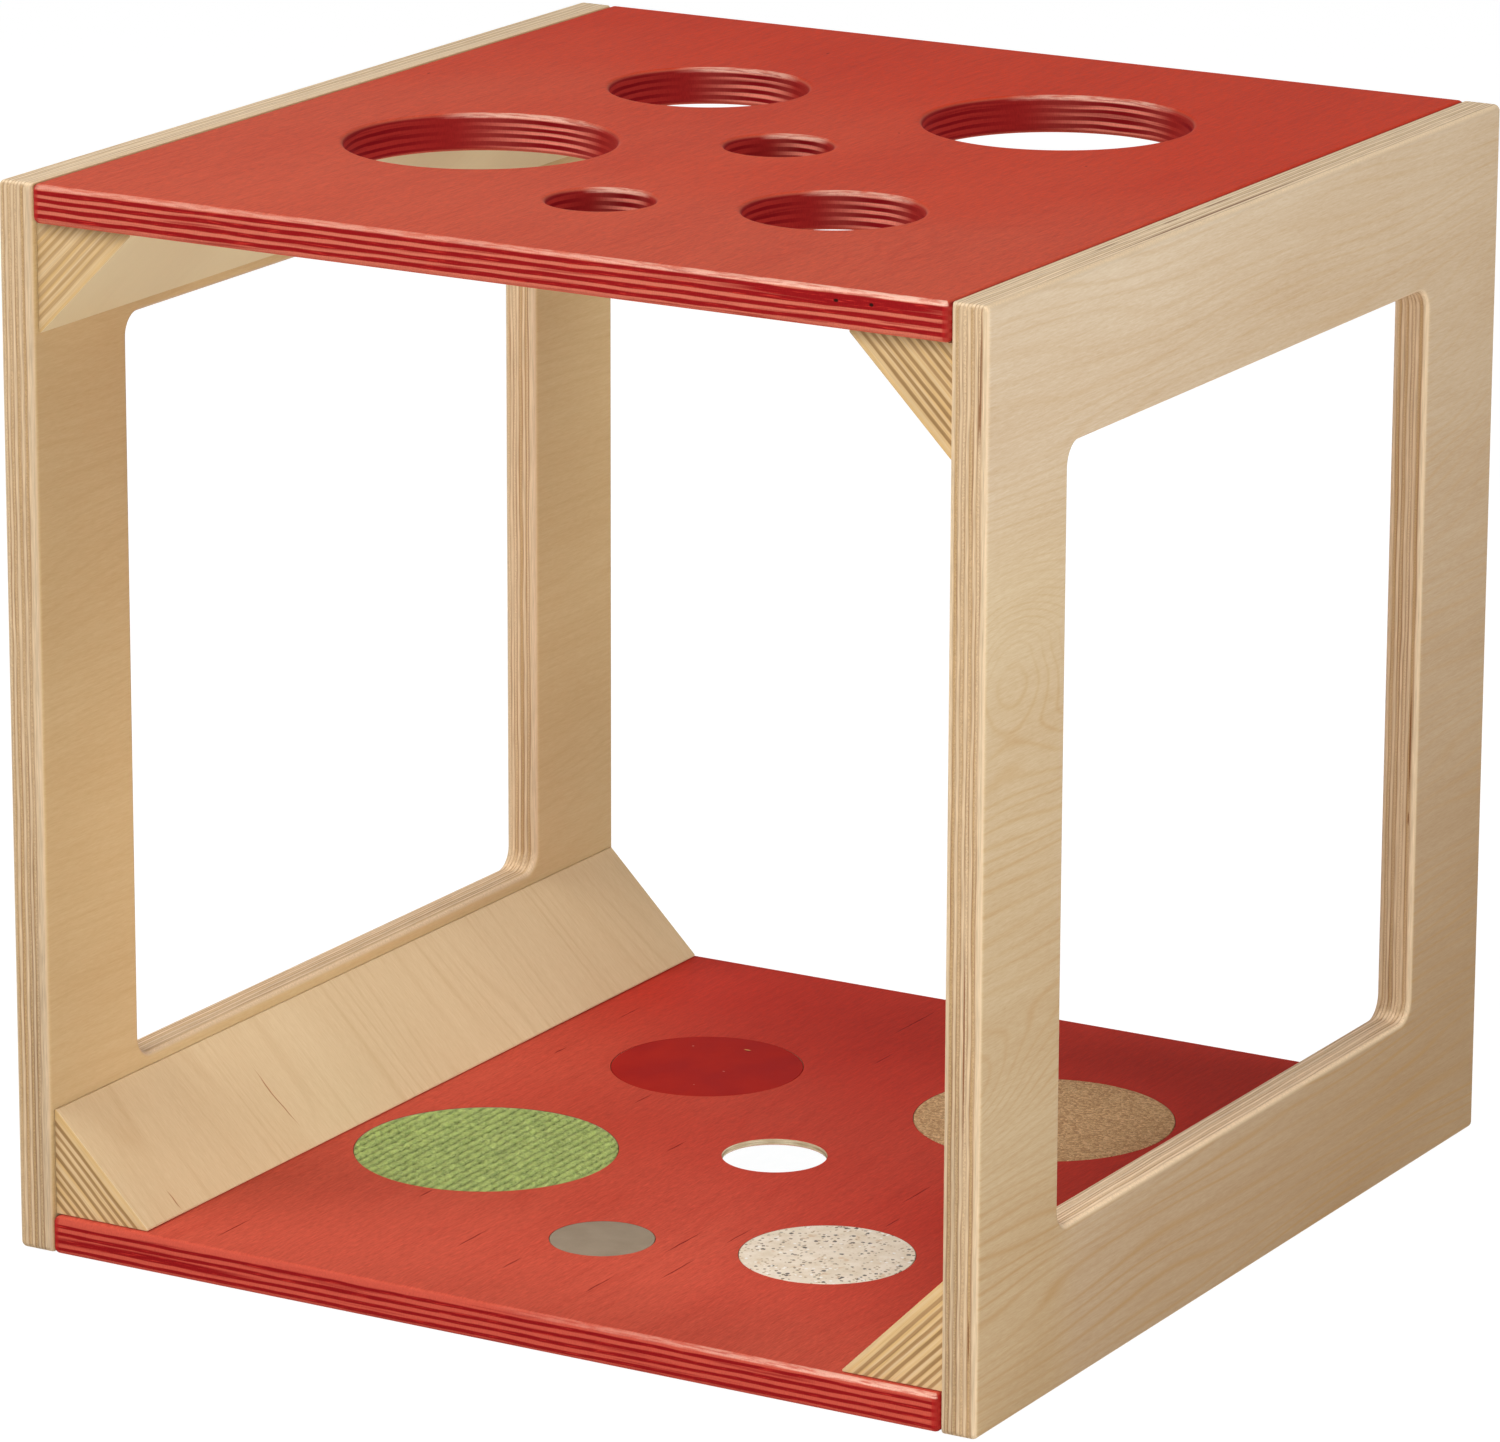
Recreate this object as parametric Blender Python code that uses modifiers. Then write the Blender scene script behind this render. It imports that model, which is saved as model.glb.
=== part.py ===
"""Sensory crawling cube. Metres, +Z up.

Two side frames with a window each stand at -X and +X. A top and a bottom panel join them, and the
front at -Y and the back at +Y are open. A triangular rail fills each of the four long corners
inside. The top panel has six round holes, and straight below each of them a disc of another
material lies in a round pocket of the bottom panel. Hidden dowels hold the boards and rails.
The origin is on the floor under the middle of the cube.
"""

import math

import bmesh
import bpy
from mathutils import Matrix

# Overall size
CUBE_WIDTH = 0.500
CUBE_DEPTH = 0.500
CUBE_HEIGHT = 0.500

# Boards
FRAME_THICKNESS = 0.018
PANEL_THICKNESS = 0.018
EDGE_ROUNDING = 0.003
ROUNDING_SEGMENTS = 2
# Only edges sharper than this are rounded, so the flats of a curved rim stay joined.
ROUNDED_EDGE_ANGLE = math.radians(50)
# Faces that meet at less than this are shaded as one smooth face.
SMOOTH_ANGLE = math.radians(35)
WELD_DISTANCE = 0.00001

# Windows of the side frames
FRAME_BORDER = 0.074
WINDOW_CORNER_RADIUS = 0.010
WINDOW_CORNER_SEGMENTS = 6

# Corner rails: the two legs of the section, its blunt tips, and how far the ends stand back
RAIL_LEG = 0.050
RAIL_TIP = 0.001
RAIL_SETBACK = 0.004

# Dowels
DOWEL_DIAMETER = 0.008
DOWEL_SEGMENTS = 16
DOWEL_COVER = 0.006
DOWEL_DEPTH_IN_PANEL_END = 0.018
DOWEL_DEPTH_IN_RAIL = 0.018
DOWEL_END_GAP = 0.0005
END_DOWEL_INSET = 0.060
RAIL_DOWEL_OFFSET = 0.015
RAIL_FRAME_DOWEL_INSET = 0.100
RAIL_PANEL_DOWEL_INSET = 0.160

# Clearance between glued faces, and round each dowel and disc
GAP = 0.0003

# Holes, each with a disc of the same diameter below it
LARGE_HOLE_DIAMETER = 0.124
MEDIUM_BACK_HOLE_DIAMETER = 0.093
MEDIUM_FRONT_HOLE_DIAMETER = 0.080
SMALL_CENTRE_HOLE_DIAMETER = 0.049
SMALL_FRONT_HOLE_DIAMETER = 0.048
# The length of rim that one flat of a circle spans
RIM_STEP = 0.008
# How far a cutter stands out of the face that it cuts
CUTTER_OVERSHOOT = 0.005

# Discs
CARPET_THICKNESS = 0.005
CORK_THICKNESS = 0.004
RUBBER_THICKNESS = 0.004
STONE_THICKNESS = 0.004
MIRROR_THICKNESS = 0.003
MIRROR_RECESS = 0.0016

# Each hole and the disc below it share a centre and a diameter. The centre is a share of the
# clear field's half width and half depth, so that the pattern follows the panels' size.
PATTERN = {
    "large_left": (-0.615, -0.264, LARGE_HOLE_DIAMETER),
    "large_right": (0.511, 0.424, LARGE_HOLE_DIAMETER),
    "medium_back": (-0.473, 0.380, MEDIUM_BACK_HOLE_DIAMETER),
    "medium_front": (0.549, -0.460, MEDIUM_FRONT_HOLE_DIAMETER),
    "small_centre": (0.052, -0.022, SMALL_CENTRE_HOLE_DIAMETER),
    "small_front": (0.006, -0.592, SMALL_FRONT_HOLE_DIAMETER),
}

# Disc in each place: node, thickness, and how far its face lies below the panel's face
DISCS = {
    "large_left": ("green_carpet_disc", CARPET_THICKNESS, 0),
    "large_right": ("cork_disc", CORK_THICKNESS, 0),
    "medium_back": ("dark_red_rubber_disc", RUBBER_THICKNESS, 0),
    "medium_front": ("speckled_stone_disc", STONE_THICKNESS, 0),
    "small_centre": ("mirror_disc", MIRROR_THICKNESS, MIRROR_RECESS),
    "small_front": ("grey_rubber_disc", RUBBER_THICKNESS, 0),
}

# sRGB colour of 0 to 255, roughness and metallic
FINISHES = {
    "birch_plywood": ((205, 176, 135), 0.50, 0.0),
    "rail_plywood": ((202, 170, 122), 0.55, 0.0),
    "red_stained_plywood": ((192, 72, 58), 0.45, 0.0),
    "beech_dowel": ((214, 178, 132), 0.60, 0.0),
    "green_carpet": ((135, 170, 80), 0.95, 0.0),
    "cork": ((160, 126, 88), 0.85, 0.0),
    "dark_red_rubber": ((158, 32, 30), 0.60, 0.0),
    "speckled_stone": ((216, 204, 182), 0.55, 0.0),
    "mirror": ((235, 238, 238), 0.03, 1.0),
    "grey_rubber": ((152, 136, 118), 0.70, 0.0),
}
DISC_FINISH = {
    "green_carpet_disc": "green_carpet",
    "cork_disc": "cork",
    "dark_red_rubber_disc": "dark_red_rubber",
    "speckled_stone_disc": "speckled_stone",
    "mirror_disc": "mirror",
    "grey_rubber_disc": "grey_rubber",
}

# Places that follow from the sizes above
FRAME_INNER_X = CUBE_WIDTH / 2 - FRAME_THICKNESS
PANEL_END_X = FRAME_INNER_X - GAP
FIELD_HALF_WIDTH = FRAME_INNER_X - RAIL_LEG
FIELD_HALF_DEPTH = CUBE_DEPTH / 2
BOTTOM_FACE_Z = PANEL_THICKNESS
TOP_FACE_Z = CUBE_HEIGHT - PANEL_THICKNESS
RAIL_HALF_LENGTH = CUBE_DEPTH / 2 - RAIL_SETBACK
DOWEL_DEPTH_IN_FRAME = FRAME_THICKNESS - DOWEL_COVER
DOWEL_DEPTH_IN_PANEL_FACE = PANEL_THICKNESS - DOWEL_COVER

SIDES = {"left": -1, "right": 1}
LEVELS = {"bottom": -1, "top": 1}


def clear_scene():
    for obj in list(bpy.data.objects):
        bpy.data.objects.remove(obj)


def new_collection(name, parent):
    collection = bpy.data.collections.new(name)
    parent.children.link(collection)
    return collection


def srgb_to_linear(value):
    share = value / 255
    if share <= 0.04045:
        return share / 12.92
    return ((share + 0.055) / 1.055) ** 2.4


def make_finish(node_name, finish):
    """A material of its own for one node, in one of the named finishes."""
    colour, roughness, metallic = FINISHES[finish]
    material = bpy.data.materials.new(node_name + "_" + finish)
    material.use_nodes = True
    shader = material.node_tree.nodes["Principled BSDF"]
    linear = [srgb_to_linear(value) for value in colour]
    shader.inputs["Base Color"].default_value = (*linear, 1.0)
    shader.inputs["Roughness"].default_value = roughness
    shader.inputs["Metallic"].default_value = metallic
    material.diffuse_color = (*linear, 1.0)
    return material


def give_finish(obj, finish):
    obj.data.materials.clear()
    obj.data.materials.append(make_finish(obj.name, finish))


def shade_round(mesh):
    mesh.shade_smooth()
    mesh.set_sharp_from_angle(angle=SMOOTH_ANGLE)


def rectangle(low_x, high_x, low_y, high_y):
    return [(low_x, low_y), (high_x, low_y), (high_x, high_y), (low_x, high_y)]


def rounded_rectangle(half_width, half_height, radius, segments):
    """A rectangle about the origin with its corners rounded, anticlockwise."""
    points = []
    for quarter, (sign_x, sign_y) in enumerate([(1, 1), (-1, 1), (-1, -1), (1, -1)]):
        centre_x = sign_x * (half_width - radius)
        centre_y = sign_y * (half_height - radius)
        for step in range(segments + 1):
            angle = math.pi / 2 * (quarter + step / segments)
            x = centre_x + radius * math.cos(angle)
            y = centre_y + radius * math.sin(angle)
            points.append((x, y))
    return points


def circle_segments(diameter):
    return 4 * round(math.pi * diameter / RIM_STEP / 4)


def circle(centre_x, centre_y, diameter):
    segments = circle_segments(diameter)
    points = []
    for step in range(segments):
        angle = 2 * math.pi * step / segments
        x = centre_x + diameter / 2 * math.cos(angle)
        y = centre_y + diameter / 2 * math.sin(angle)
        points.append((x, y))
    return points


def board_from_outlines(name, outlines, thickness, rotation, location, collection):
    """A flat board: closed 2D outlines, the later ones openings, extruded and made a mesh."""
    curve = bpy.data.curves.new(name + "_outline", "CURVE")
    curve.dimensions = "2D"
    curve.fill_mode = "BOTH"
    curve.extrude = thickness / 2
    for outline in outlines:
        spline = curve.splines.new("POLY")
        spline.points.add(len(outline) - 1)
        for point, (x, y) in zip(spline.points, outline):
            point.co = (x, y, 0, 1)
        spline.use_cyclic_u = True
    flat = bpy.data.objects.new(name + "_outline", curve)
    flat.rotation_euler = rotation
    flat.location = location
    collection.objects.link(flat)
    bpy.context.view_layer.update()
    graph = bpy.context.evaluated_depsgraph_get()
    mesh = bpy.data.meshes.new_from_object(flat.evaluated_get(graph))
    mesh.name = name
    shape = bmesh.new()
    shape.from_mesh(mesh)
    bmesh.ops.remove_doubles(shape, verts=shape.verts, dist=WELD_DISTANCE)
    bmesh.ops.recalc_face_normals(shape, faces=shape.faces)
    shape.to_mesh(mesh)
    shape.free()
    board = bpy.data.objects.new(name, mesh)
    board.matrix_world = flat.matrix_world.copy()
    collection.objects.link(board)
    bpy.data.objects.remove(flat)
    bpy.data.curves.remove(curve)
    return board


def round_edges(board):
    bevel = board.modifiers.new("edge_rounding", "BEVEL")
    bevel.width = EDGE_ROUNDING
    bevel.segments = ROUNDING_SEGMENTS
    bevel.limit_method = "ANGLE"
    bevel.angle_limit = ROUNDED_EDGE_ANGLE
    bevel.use_clamp_overlap = False


def cylinder_mesh(name, diameter, low, high, segments):
    """A closed cylinder along Z from low to high."""
    mesh = bpy.data.meshes.new(name)
    shape = bmesh.new()
    middle = Matrix.Translation((0, 0, (low + high) / 2))
    bmesh.ops.create_cone(
        shape,
        cap_ends=True,
        segments=segments,
        radius1=diameter / 2,
        radius2=diameter / 2,
        depth=high - low,
        matrix=middle,
    )
    shape.to_mesh(mesh)
    shape.free()
    return mesh


def place(name, mesh, location, rotation, collection):
    obj = bpy.data.objects.new(name, mesh)
    obj.location = location
    obj.rotation_euler = rotation
    collection.objects.link(obj)
    return obj


def hide_cutter(cutter):
    cutter.hide_render = True
    cutter.display_type = "WIRE"


def cut_with(board, cutters):
    """Takes every cutter of a collection out of the board."""
    cut = board.modifiers.new(cutters.name, "BOOLEAN")
    cut.operation = "DIFFERENCE"
    cut.solver = "EXACT"
    cut.operand_type = "COLLECTION"
    cut.collection = cutters


def pattern_centre(place_name):
    share_x, share_y, _ = PATTERN[place_name]
    return share_x * FIELD_HALF_WIDTH, share_y * FIELD_HALF_DEPTH


def build_side_frame(side, parts):
    """One board in the YZ plane with a rounded rectangular window."""
    outline = rectangle(-CUBE_DEPTH / 2, CUBE_DEPTH / 2, -CUBE_HEIGHT / 2, CUBE_HEIGHT / 2)
    window = rounded_rectangle(
        CUBE_DEPTH / 2 - FRAME_BORDER,
        CUBE_HEIGHT / 2 - FRAME_BORDER,
        WINDOW_CORNER_RADIUS,
        WINDOW_CORNER_SEGMENTS,
    )
    middle_x = SIDES[side] * (CUBE_WIDTH - FRAME_THICKNESS) / 2
    # This turn lays the outline's X along Y, its Y along Z and the thickness along X.
    upright = (math.pi / 2, 0, math.pi / 2)
    frame = board_from_outlines(
        side + "_side_frame",
        [outline, window],
        FRAME_THICKNESS,
        upright,
        (middle_x, 0, CUBE_HEIGHT / 2),
        parts,
    )
    round_edges(frame)
    shade_round(frame.data)
    give_finish(frame, "birch_plywood")
    return frame


def build_top_panel(parts):
    outlines = [rectangle(-PANEL_END_X, PANEL_END_X, -CUBE_DEPTH / 2, CUBE_DEPTH / 2)]
    for place_name, (_, _, diameter) in PATTERN.items():
        centre_x, centre_y = pattern_centre(place_name)
        outlines.append(circle(centre_x, centre_y, diameter))
    middle_z = CUBE_HEIGHT - PANEL_THICKNESS / 2
    panel = board_from_outlines(
        "top_panel", outlines, PANEL_THICKNESS, (0, 0, 0), (0, 0, middle_z), parts
    )
    round_edges(panel)
    shade_round(panel.data)
    give_finish(panel, "red_stained_plywood")
    return panel


def build_bottom_panel(parts, cutters):
    outline = rectangle(-PANEL_END_X, PANEL_END_X, -CUBE_DEPTH / 2, CUBE_DEPTH / 2)
    middle_z = PANEL_THICKNESS / 2
    panel = board_from_outlines(
        "bottom_panel", [outline], PANEL_THICKNESS, (0, 0, 0), (0, 0, middle_z), parts
    )
    round_edges(panel)
    pockets = new_collection("disc_pockets", cutters)
    for place_name, (_, _, diameter) in PATTERN.items():
        disc_name, thickness, recess = DISCS[place_name]
        pocket_depth = recess + thickness + GAP
        mesh = cylinder_mesh(
            disc_name + "_pocket",
            diameter + 2 * GAP,
            -pocket_depth,
            CUTTER_OVERSHOOT,
            circle_segments(diameter),
        )
        location = (*pattern_centre(place_name), BOTTOM_FACE_Z)
        hide_cutter(place(mesh.name, mesh, location, (0, 0, 0), pockets))
    cut_with(panel, pockets)
    shade_round(panel.data)
    give_finish(panel, "red_stained_plywood")
    return panel


def build_discs(parts):
    for place_name, (_, _, diameter) in PATTERN.items():
        disc_name, thickness, recess = DISCS[place_name]
        mesh = cylinder_mesh(
            disc_name, diameter, -recess - thickness, -recess, circle_segments(diameter)
        )
        shade_round(mesh)
        location = (*pattern_centre(place_name), BOTTOM_FACE_Z)
        disc = place(disc_name, mesh, location, (0, 0, 0), parts)
        give_finish(disc, DISC_FINISH[disc_name])


def rail_outline(sign_x, sign_z):
    """The rail's section from its square corner, in X and Z, with blunt tips."""
    corner = [
        (0, 0),
        (RAIL_LEG, 0),
        (RAIL_LEG, RAIL_TIP),
        (RAIL_TIP, RAIL_LEG),
        (0, RAIL_LEG),
    ]
    return [(-sign_x * along_x, -sign_z * along_z) for along_x, along_z in corner]


def panel_face_z(level):
    return TOP_FACE_Z if level == "top" else BOTTOM_FACE_Z


def build_rail(level, side, parts):
    sign_x = SIDES[side]
    sign_z = LEVELS[level]
    corner_x = sign_x * (FRAME_INNER_X - GAP)
    corner_z = panel_face_z(level) - sign_z * GAP
    # This turn lays the section's Y along Z and the extrusion along Y.
    upright = (math.pi / 2, 0, 0)
    rail = board_from_outlines(
        f"{level}_{side}_rail",
        [rail_outline(sign_x, sign_z)],
        2 * RAIL_HALF_LENGTH,
        upright,
        (corner_x, 0, corner_z),
        parts,
    )
    give_finish(rail, "rail_plywood")
    return rail


def dowel_rows():
    """Every dowel: name, joint point, turn, the two boards, and its depth in each of them.

    The dowel's own Z runs from the second board into the first.
    """
    rows = []
    end_y = CUBE_DEPTH / 2 - END_DOWEL_INSET
    frame_y = CUBE_DEPTH / 2 - RAIL_FRAME_DOWEL_INSET
    panel_y = CUBE_DEPTH / 2 - RAIL_PANEL_DOWEL_INSET
    for level, sign_z in LEVELS.items():
        for side, sign_x in SIDES.items():
            frame = side + "_side_frame"
            panel = level + "_panel"
            rail = f"{level}_{side}_rail"
            into_frame = (0, sign_x * math.pi / 2, 0)
            panel_middle_z = panel_face_z(level) + sign_z * PANEL_THICKNESS / 2
            for spot, y in (("front", -end_y), ("middle", 0), ("back", end_y)):
                name = f"{level}_{side}_end_dowel_{spot}"
                point = (sign_x * FRAME_INNER_X, y, panel_middle_z)
                depths = (DOWEL_DEPTH_IN_FRAME, DOWEL_DEPTH_IN_PANEL_END)
                rows.append((name, point, into_frame, (frame, panel), depths))
            rail_z = panel_face_z(level) - sign_z * RAIL_DOWEL_OFFSET
            for spot, y in (("front", -frame_y), ("back", frame_y)):
                name = f"{level}_{side}_rail_side_dowel_{spot}"
                point = (sign_x * FRAME_INNER_X, y, rail_z)
                depths = (DOWEL_DEPTH_IN_FRAME, DOWEL_DEPTH_IN_RAIL)
                rows.append((name, point, into_frame, (frame, rail), depths))
            into_panel = (0, 0 if level == "top" else math.pi, 0)
            rail_x = sign_x * (FRAME_INNER_X - RAIL_DOWEL_OFFSET)
            for spot, y in (("front", -panel_y), ("back", panel_y)):
                name = f"{level}_{side}_rail_face_dowel_{spot}"
                point = (rail_x, y, panel_face_z(level))
                depths = (DOWEL_DEPTH_IN_PANEL_FACE, DOWEL_DEPTH_IN_RAIL)
                rows.append((name, point, into_panel, (panel, rail), depths))
    return rows


def build_dowels(boards, parts, cutters):
    """The dowels, and a blind bore for each in both boards that it joins."""
    bores = {name: new_collection(name + "_bores", cutters) for name in boards}
    for name, point, turn, joined, (depth_first, depth_second) in dowel_rows():
        mesh = cylinder_mesh(name, DOWEL_DIAMETER, -depth_second, depth_first, DOWEL_SEGMENTS)
        shade_round(mesh)
        dowel = place(name, mesh, point, turn, parts)
        give_finish(dowel, "beech_dowel")
        bore_mesh = cylinder_mesh(
            name + "_bore",
            DOWEL_DIAMETER + 2 * GAP,
            -depth_second - DOWEL_END_GAP,
            depth_first + DOWEL_END_GAP,
            DOWEL_SEGMENTS,
        )
        bore = bpy.data.objects.new(bore_mesh.name, bore_mesh)
        bore.location = point
        bore.rotation_euler = turn
        hide_cutter(bore)
        for board_name in joined:
            bores[board_name].objects.link(bore)
    for name, board in boards.items():
        cut_with(board, bores[name])


def main():
    clear_scene()
    scene_root = bpy.context.scene.collection
    parts = new_collection("sensory_crawling_cube", scene_root)
    cutters = new_collection("cutters", scene_root)
    boards = {}
    for side in SIDES:
        frame = build_side_frame(side, parts)
        boards[frame.name] = frame
    top_panel = build_top_panel(parts)
    boards[top_panel.name] = top_panel
    bottom_panel = build_bottom_panel(parts, cutters)
    boards[bottom_panel.name] = bottom_panel
    for level in LEVELS:
        for side in SIDES:
            rail = build_rail(level, side, parts)
            boards[rail.name] = rail
    build_discs(parts)
    build_dowels(boards, parts, cutters)


main()
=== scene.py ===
"""Looks of the sensory crawling cube. Metres, +Z up, front at -Y, left frame at -X."""

import math
import random
from types import SimpleNamespace

import bmesh
import bpy
from mathutils import Matrix, Vector, noise


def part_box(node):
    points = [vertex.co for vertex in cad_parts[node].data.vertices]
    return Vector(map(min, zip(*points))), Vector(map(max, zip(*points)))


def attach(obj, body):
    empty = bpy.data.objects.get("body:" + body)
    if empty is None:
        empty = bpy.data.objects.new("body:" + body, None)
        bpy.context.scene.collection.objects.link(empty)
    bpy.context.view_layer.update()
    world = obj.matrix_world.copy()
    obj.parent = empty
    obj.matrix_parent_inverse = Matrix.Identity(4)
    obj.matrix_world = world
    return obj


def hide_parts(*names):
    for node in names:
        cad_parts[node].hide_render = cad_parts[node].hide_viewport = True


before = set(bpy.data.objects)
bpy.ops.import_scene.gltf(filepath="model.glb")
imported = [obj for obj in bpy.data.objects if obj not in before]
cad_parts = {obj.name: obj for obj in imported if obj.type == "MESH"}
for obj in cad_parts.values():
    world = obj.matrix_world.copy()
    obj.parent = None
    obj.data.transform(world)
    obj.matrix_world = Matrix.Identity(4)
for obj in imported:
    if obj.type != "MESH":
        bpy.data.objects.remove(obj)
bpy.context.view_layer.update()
boxes = {name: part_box(name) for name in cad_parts}

FULL_TURN = 2 * math.pi
MILLIMETRES = 1000.0

# Sizes that the pieces repeat from the model
EDGE_ROUNDING = 0.003
FRAME_BORDER = 0.074
WINDOW_CORNER_RADIUS = 0.010
RAIL_TIP = 0.001
GAP = 0.0003

# A side frame's inner edges are nearly square where the panels meet them.
JOINT_ROUNDING = 0.0009

# How finely the pieces are built
ROUNDING_SEGMENTS = 6
WINDOW_CORNER_SEGMENTS = 14
ARRIS_SEGMENTS = 3
RIM_STEP = 0.0022
# A face that lies this close to level is one of a board's two flats.
FLAT_COSINE = 0.9999

# Small arrises
RAIL_ARRIS = 0.0003
POCKET_ARRIS = 0.0002
DISC_ARRIS = 0.0002

# An upright corner is a little rounder than the edges, so that its inner ring keeps its points.
CORNER_SHARE = 1.02
CORNER_RADIUS = EDGE_ROUNDING * CORNER_SHARE

DISC_NODES = [
    "green_carpet_disc",
    "cork_disc",
    "dark_red_rubber_disc",
    "speckled_stone_disc",
    "mirror_disc",
    "grey_rubber_disc",
]
RAIL_NODES = ["top_left_rail", "top_right_rail", "bottom_left_rail", "bottom_right_rail"]


def srgb(red, green, blue):
    """A shader colour from sRGB values of 0 to 255."""
    linear = []
    for value in (red, green, blue):
        share = value / 255
        if share <= 0.04045:
            linear.append(share / 12.92)
        else:
            linear.append(((share + 0.055) / 1.055) ** 2.4)
    return (*linear, 1.0)


# Meshes


def box_middle(node):
    low, high = boxes[node]
    return (low + high) / 2


def box_size(node):
    low, high = boxes[node]
    return high - low


def finish_mesh(shape, name):
    mesh = bpy.data.meshes.new(name)
    shape.to_mesh(mesh)
    shape.free()
    return mesh


def link_piece(mesh):
    piece = bpy.data.objects.new(mesh.name, mesh)
    bpy.context.scene.collection.objects.link(piece)
    return piece


def rounded_polygon(corners, radius, segments, side=1):
    """The rim of a polygon with its corners rounded; side is 1 outside and -1 round an opening.

    Each point of a rim is an arc's centre, the angle on it, its radius and the side.
    """
    area = 0.0
    for (x, y), (next_x, next_y) in zip(corners, corners[1:] + corners[:1]):
        area += x * next_y - next_x * y
    if area < 0:
        corners = corners[::-1]
    rim = []
    count = len(corners)
    for index, corner in enumerate(corners):
        here = Vector(corner)
        arriving = (here - Vector(corners[index - 1])).normalized()
        leaving = (Vector(corners[(index + 1) % count]) - here).normalized()
        first = Vector((arriving.y, -arriving.x))
        second = Vector((leaving.y, -leaving.x))
        centre = here - (first + second) * radius / (1 + first.dot(second))
        start = math.atan2(first.y, first.x)
        turn = (math.atan2(second.y, second.x) - start) % FULL_TURN
        for step in range(segments + 1):
            rim.append((centre, start + turn * step / segments, radius, side))
    return rim


def rectangle_rim(half_width, half_height, radius, segments, side=1):
    corners = [
        (-half_width, -half_height),
        (half_width, -half_height),
        (half_width, half_height),
        (-half_width, half_height),
    ]
    return rounded_polygon(corners, radius, segments, side)


def circle_rim(centre_x, centre_y, diameter, side=1):
    segments = 4 * round(math.pi * diameter / RIM_STEP / 4)
    centre = Vector((centre_x, centre_y))
    return [(centre, FULL_TURN * step / segments, diameter / 2, side) for step in range(segments)]


def edge_profile(half, rounding):
    """Steps round an edge from the upper flat to the lower one: inset, height and slope."""
    profile = []
    for step in range(ROUNDING_SEGMENTS + 1):
        slope = math.pi / 2 * (1 - step / ROUNDING_SEGMENTS)
        height = half - rounding + rounding * math.sin(slope)
        profile.append((rounding * (1 - math.cos(slope)), height, slope))
    below = [(inset, -height, -slope) for inset, height, slope in reversed(profile)]
    return profile + below


def rounding_share(angle, height, joint_side):
    """The share of the rounding that is left at a point, less on the ends of the joint side."""
    if joint_side * height <= 0:
        return 1.0
    return 1.0 - (1.0 - JOINT_ROUNDING / EDGE_ROUNDING) * math.sin(angle) ** 4


def add_ring(shape, normals, rim, half, joint_side, inset, height, slope):
    """One ring of vertices that follows the rim, set back from it by the inset."""
    ring = []
    for centre, angle, radius, side in rim:
        share = rounding_share(angle, height, joint_side) if side > 0 else 1.0
        outward = Vector((math.cos(angle), math.sin(angle)))
        flat = centre + outward * (radius - side * inset * share)
        drop = (half - abs(height)) * share
        ring.append(shape.verts.new((flat.x, flat.y, math.copysign(half - drop, height))))
        level = outward * side * math.cos(slope)
        normals.append(Vector((level.x, level.y, math.sin(slope))))
    return ring


def join_rings(shape, rings):
    for upper, lower in zip(rings, rings[1:]):
        for index in range(len(upper)):
            after = (index + 1) % len(upper)
            shape.faces.new([upper[index], lower[index], lower[after], upper[after]])


def fill_flat(shape, rings):
    """The flat face that lies between its outer ring and the rings of its openings."""
    edges = []
    for ring in rings:
        for index, vertex in enumerate(ring):
            edges.append(shape.edges.get((vertex, ring[(index + 1) % len(ring)])))
    bmesh.ops.triangle_fill(shape, use_beauty=True, edges=edges)


def shade(mesh, normals, place):
    """Flat shading on the flats, and the true surface direction on everything round."""
    turn = place.to_3x3()
    corners = []
    for polygon in mesh.polygons:
        is_flat = abs(polygon.normal.z) > FLAT_COSINE
        for vertex in polygon.vertices:
            corners.append(turn @ (polygon.normal if is_flat else normals[vertex]))
    mesh.transform(place)
    mesh.shade_smooth()
    mesh.normals_split_custom_set(corners)


def rounded_solid(name, rims, thickness, rounding, place, pockets=(), joint_side=0):
    """A flat solid between rims, with rounded edges.

    Each pocket is its rim and its depth below the upper flat. The joint side is 1 or -1 for the
    flat whose end edges are nearly square.
    """
    half = thickness / 2
    shape = bmesh.new()
    normals = []
    upper = []
    lower = []
    for rim in rims:
        rings = []
        for step in edge_profile(half, rounding):
            rings.append(add_ring(shape, normals, rim, half, joint_side, *step))
        join_rings(shape, rings)
        upper.append(rings[0])
        lower.append(rings[-1])
    for rim, depth in pockets:
        upper_half = edge_profile(half, POCKET_ARRIS)[: ROUNDING_SEGMENTS + 1]
        rings = []
        for step in upper_half + [(0, half - depth, 0)]:
            rings.append(add_ring(shape, normals, rim, half, 0, *step))
        join_rings(shape, rings)
        shape.faces.new(rings[-1])
        upper.append(rings[0])
    fill_flat(shape, upper)
    fill_flat(shape, lower)
    bmesh.ops.recalc_face_normals(shape, faces=shape.faces)
    mesh = finish_mesh(shape, name)
    shade(mesh, normals, place)
    return link_piece(mesh)


def build_side_frame(side):
    node = side + "_side_frame"
    size = box_size(node)
    outer = rectangle_rim(size.y / 2, size.z / 2, CORNER_RADIUS, ROUNDING_SEGMENTS)
    window = rectangle_rim(
        size.y / 2 - FRAME_BORDER,
        size.z / 2 - FRAME_BORDER,
        WINDOW_CORNER_RADIUS,
        WINDOW_CORNER_SEGMENTS,
        side=-1,
    )
    # This turn lays the outline's X along Y, its Y along Z and the thickness along X.
    turn = Matrix(((0, 0, 1, 0), (1, 0, 0, 0), (0, 1, 0, 0), (0, 0, 0, 1)))
    place = Matrix.Translation(box_middle(node)) @ turn
    joint_side = 1 if side == "left" else -1
    rims = [outer, window]
    return rounded_solid(
        node + "_board", rims, size.x, EDGE_ROUNDING, place, joint_side=joint_side
    )


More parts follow.
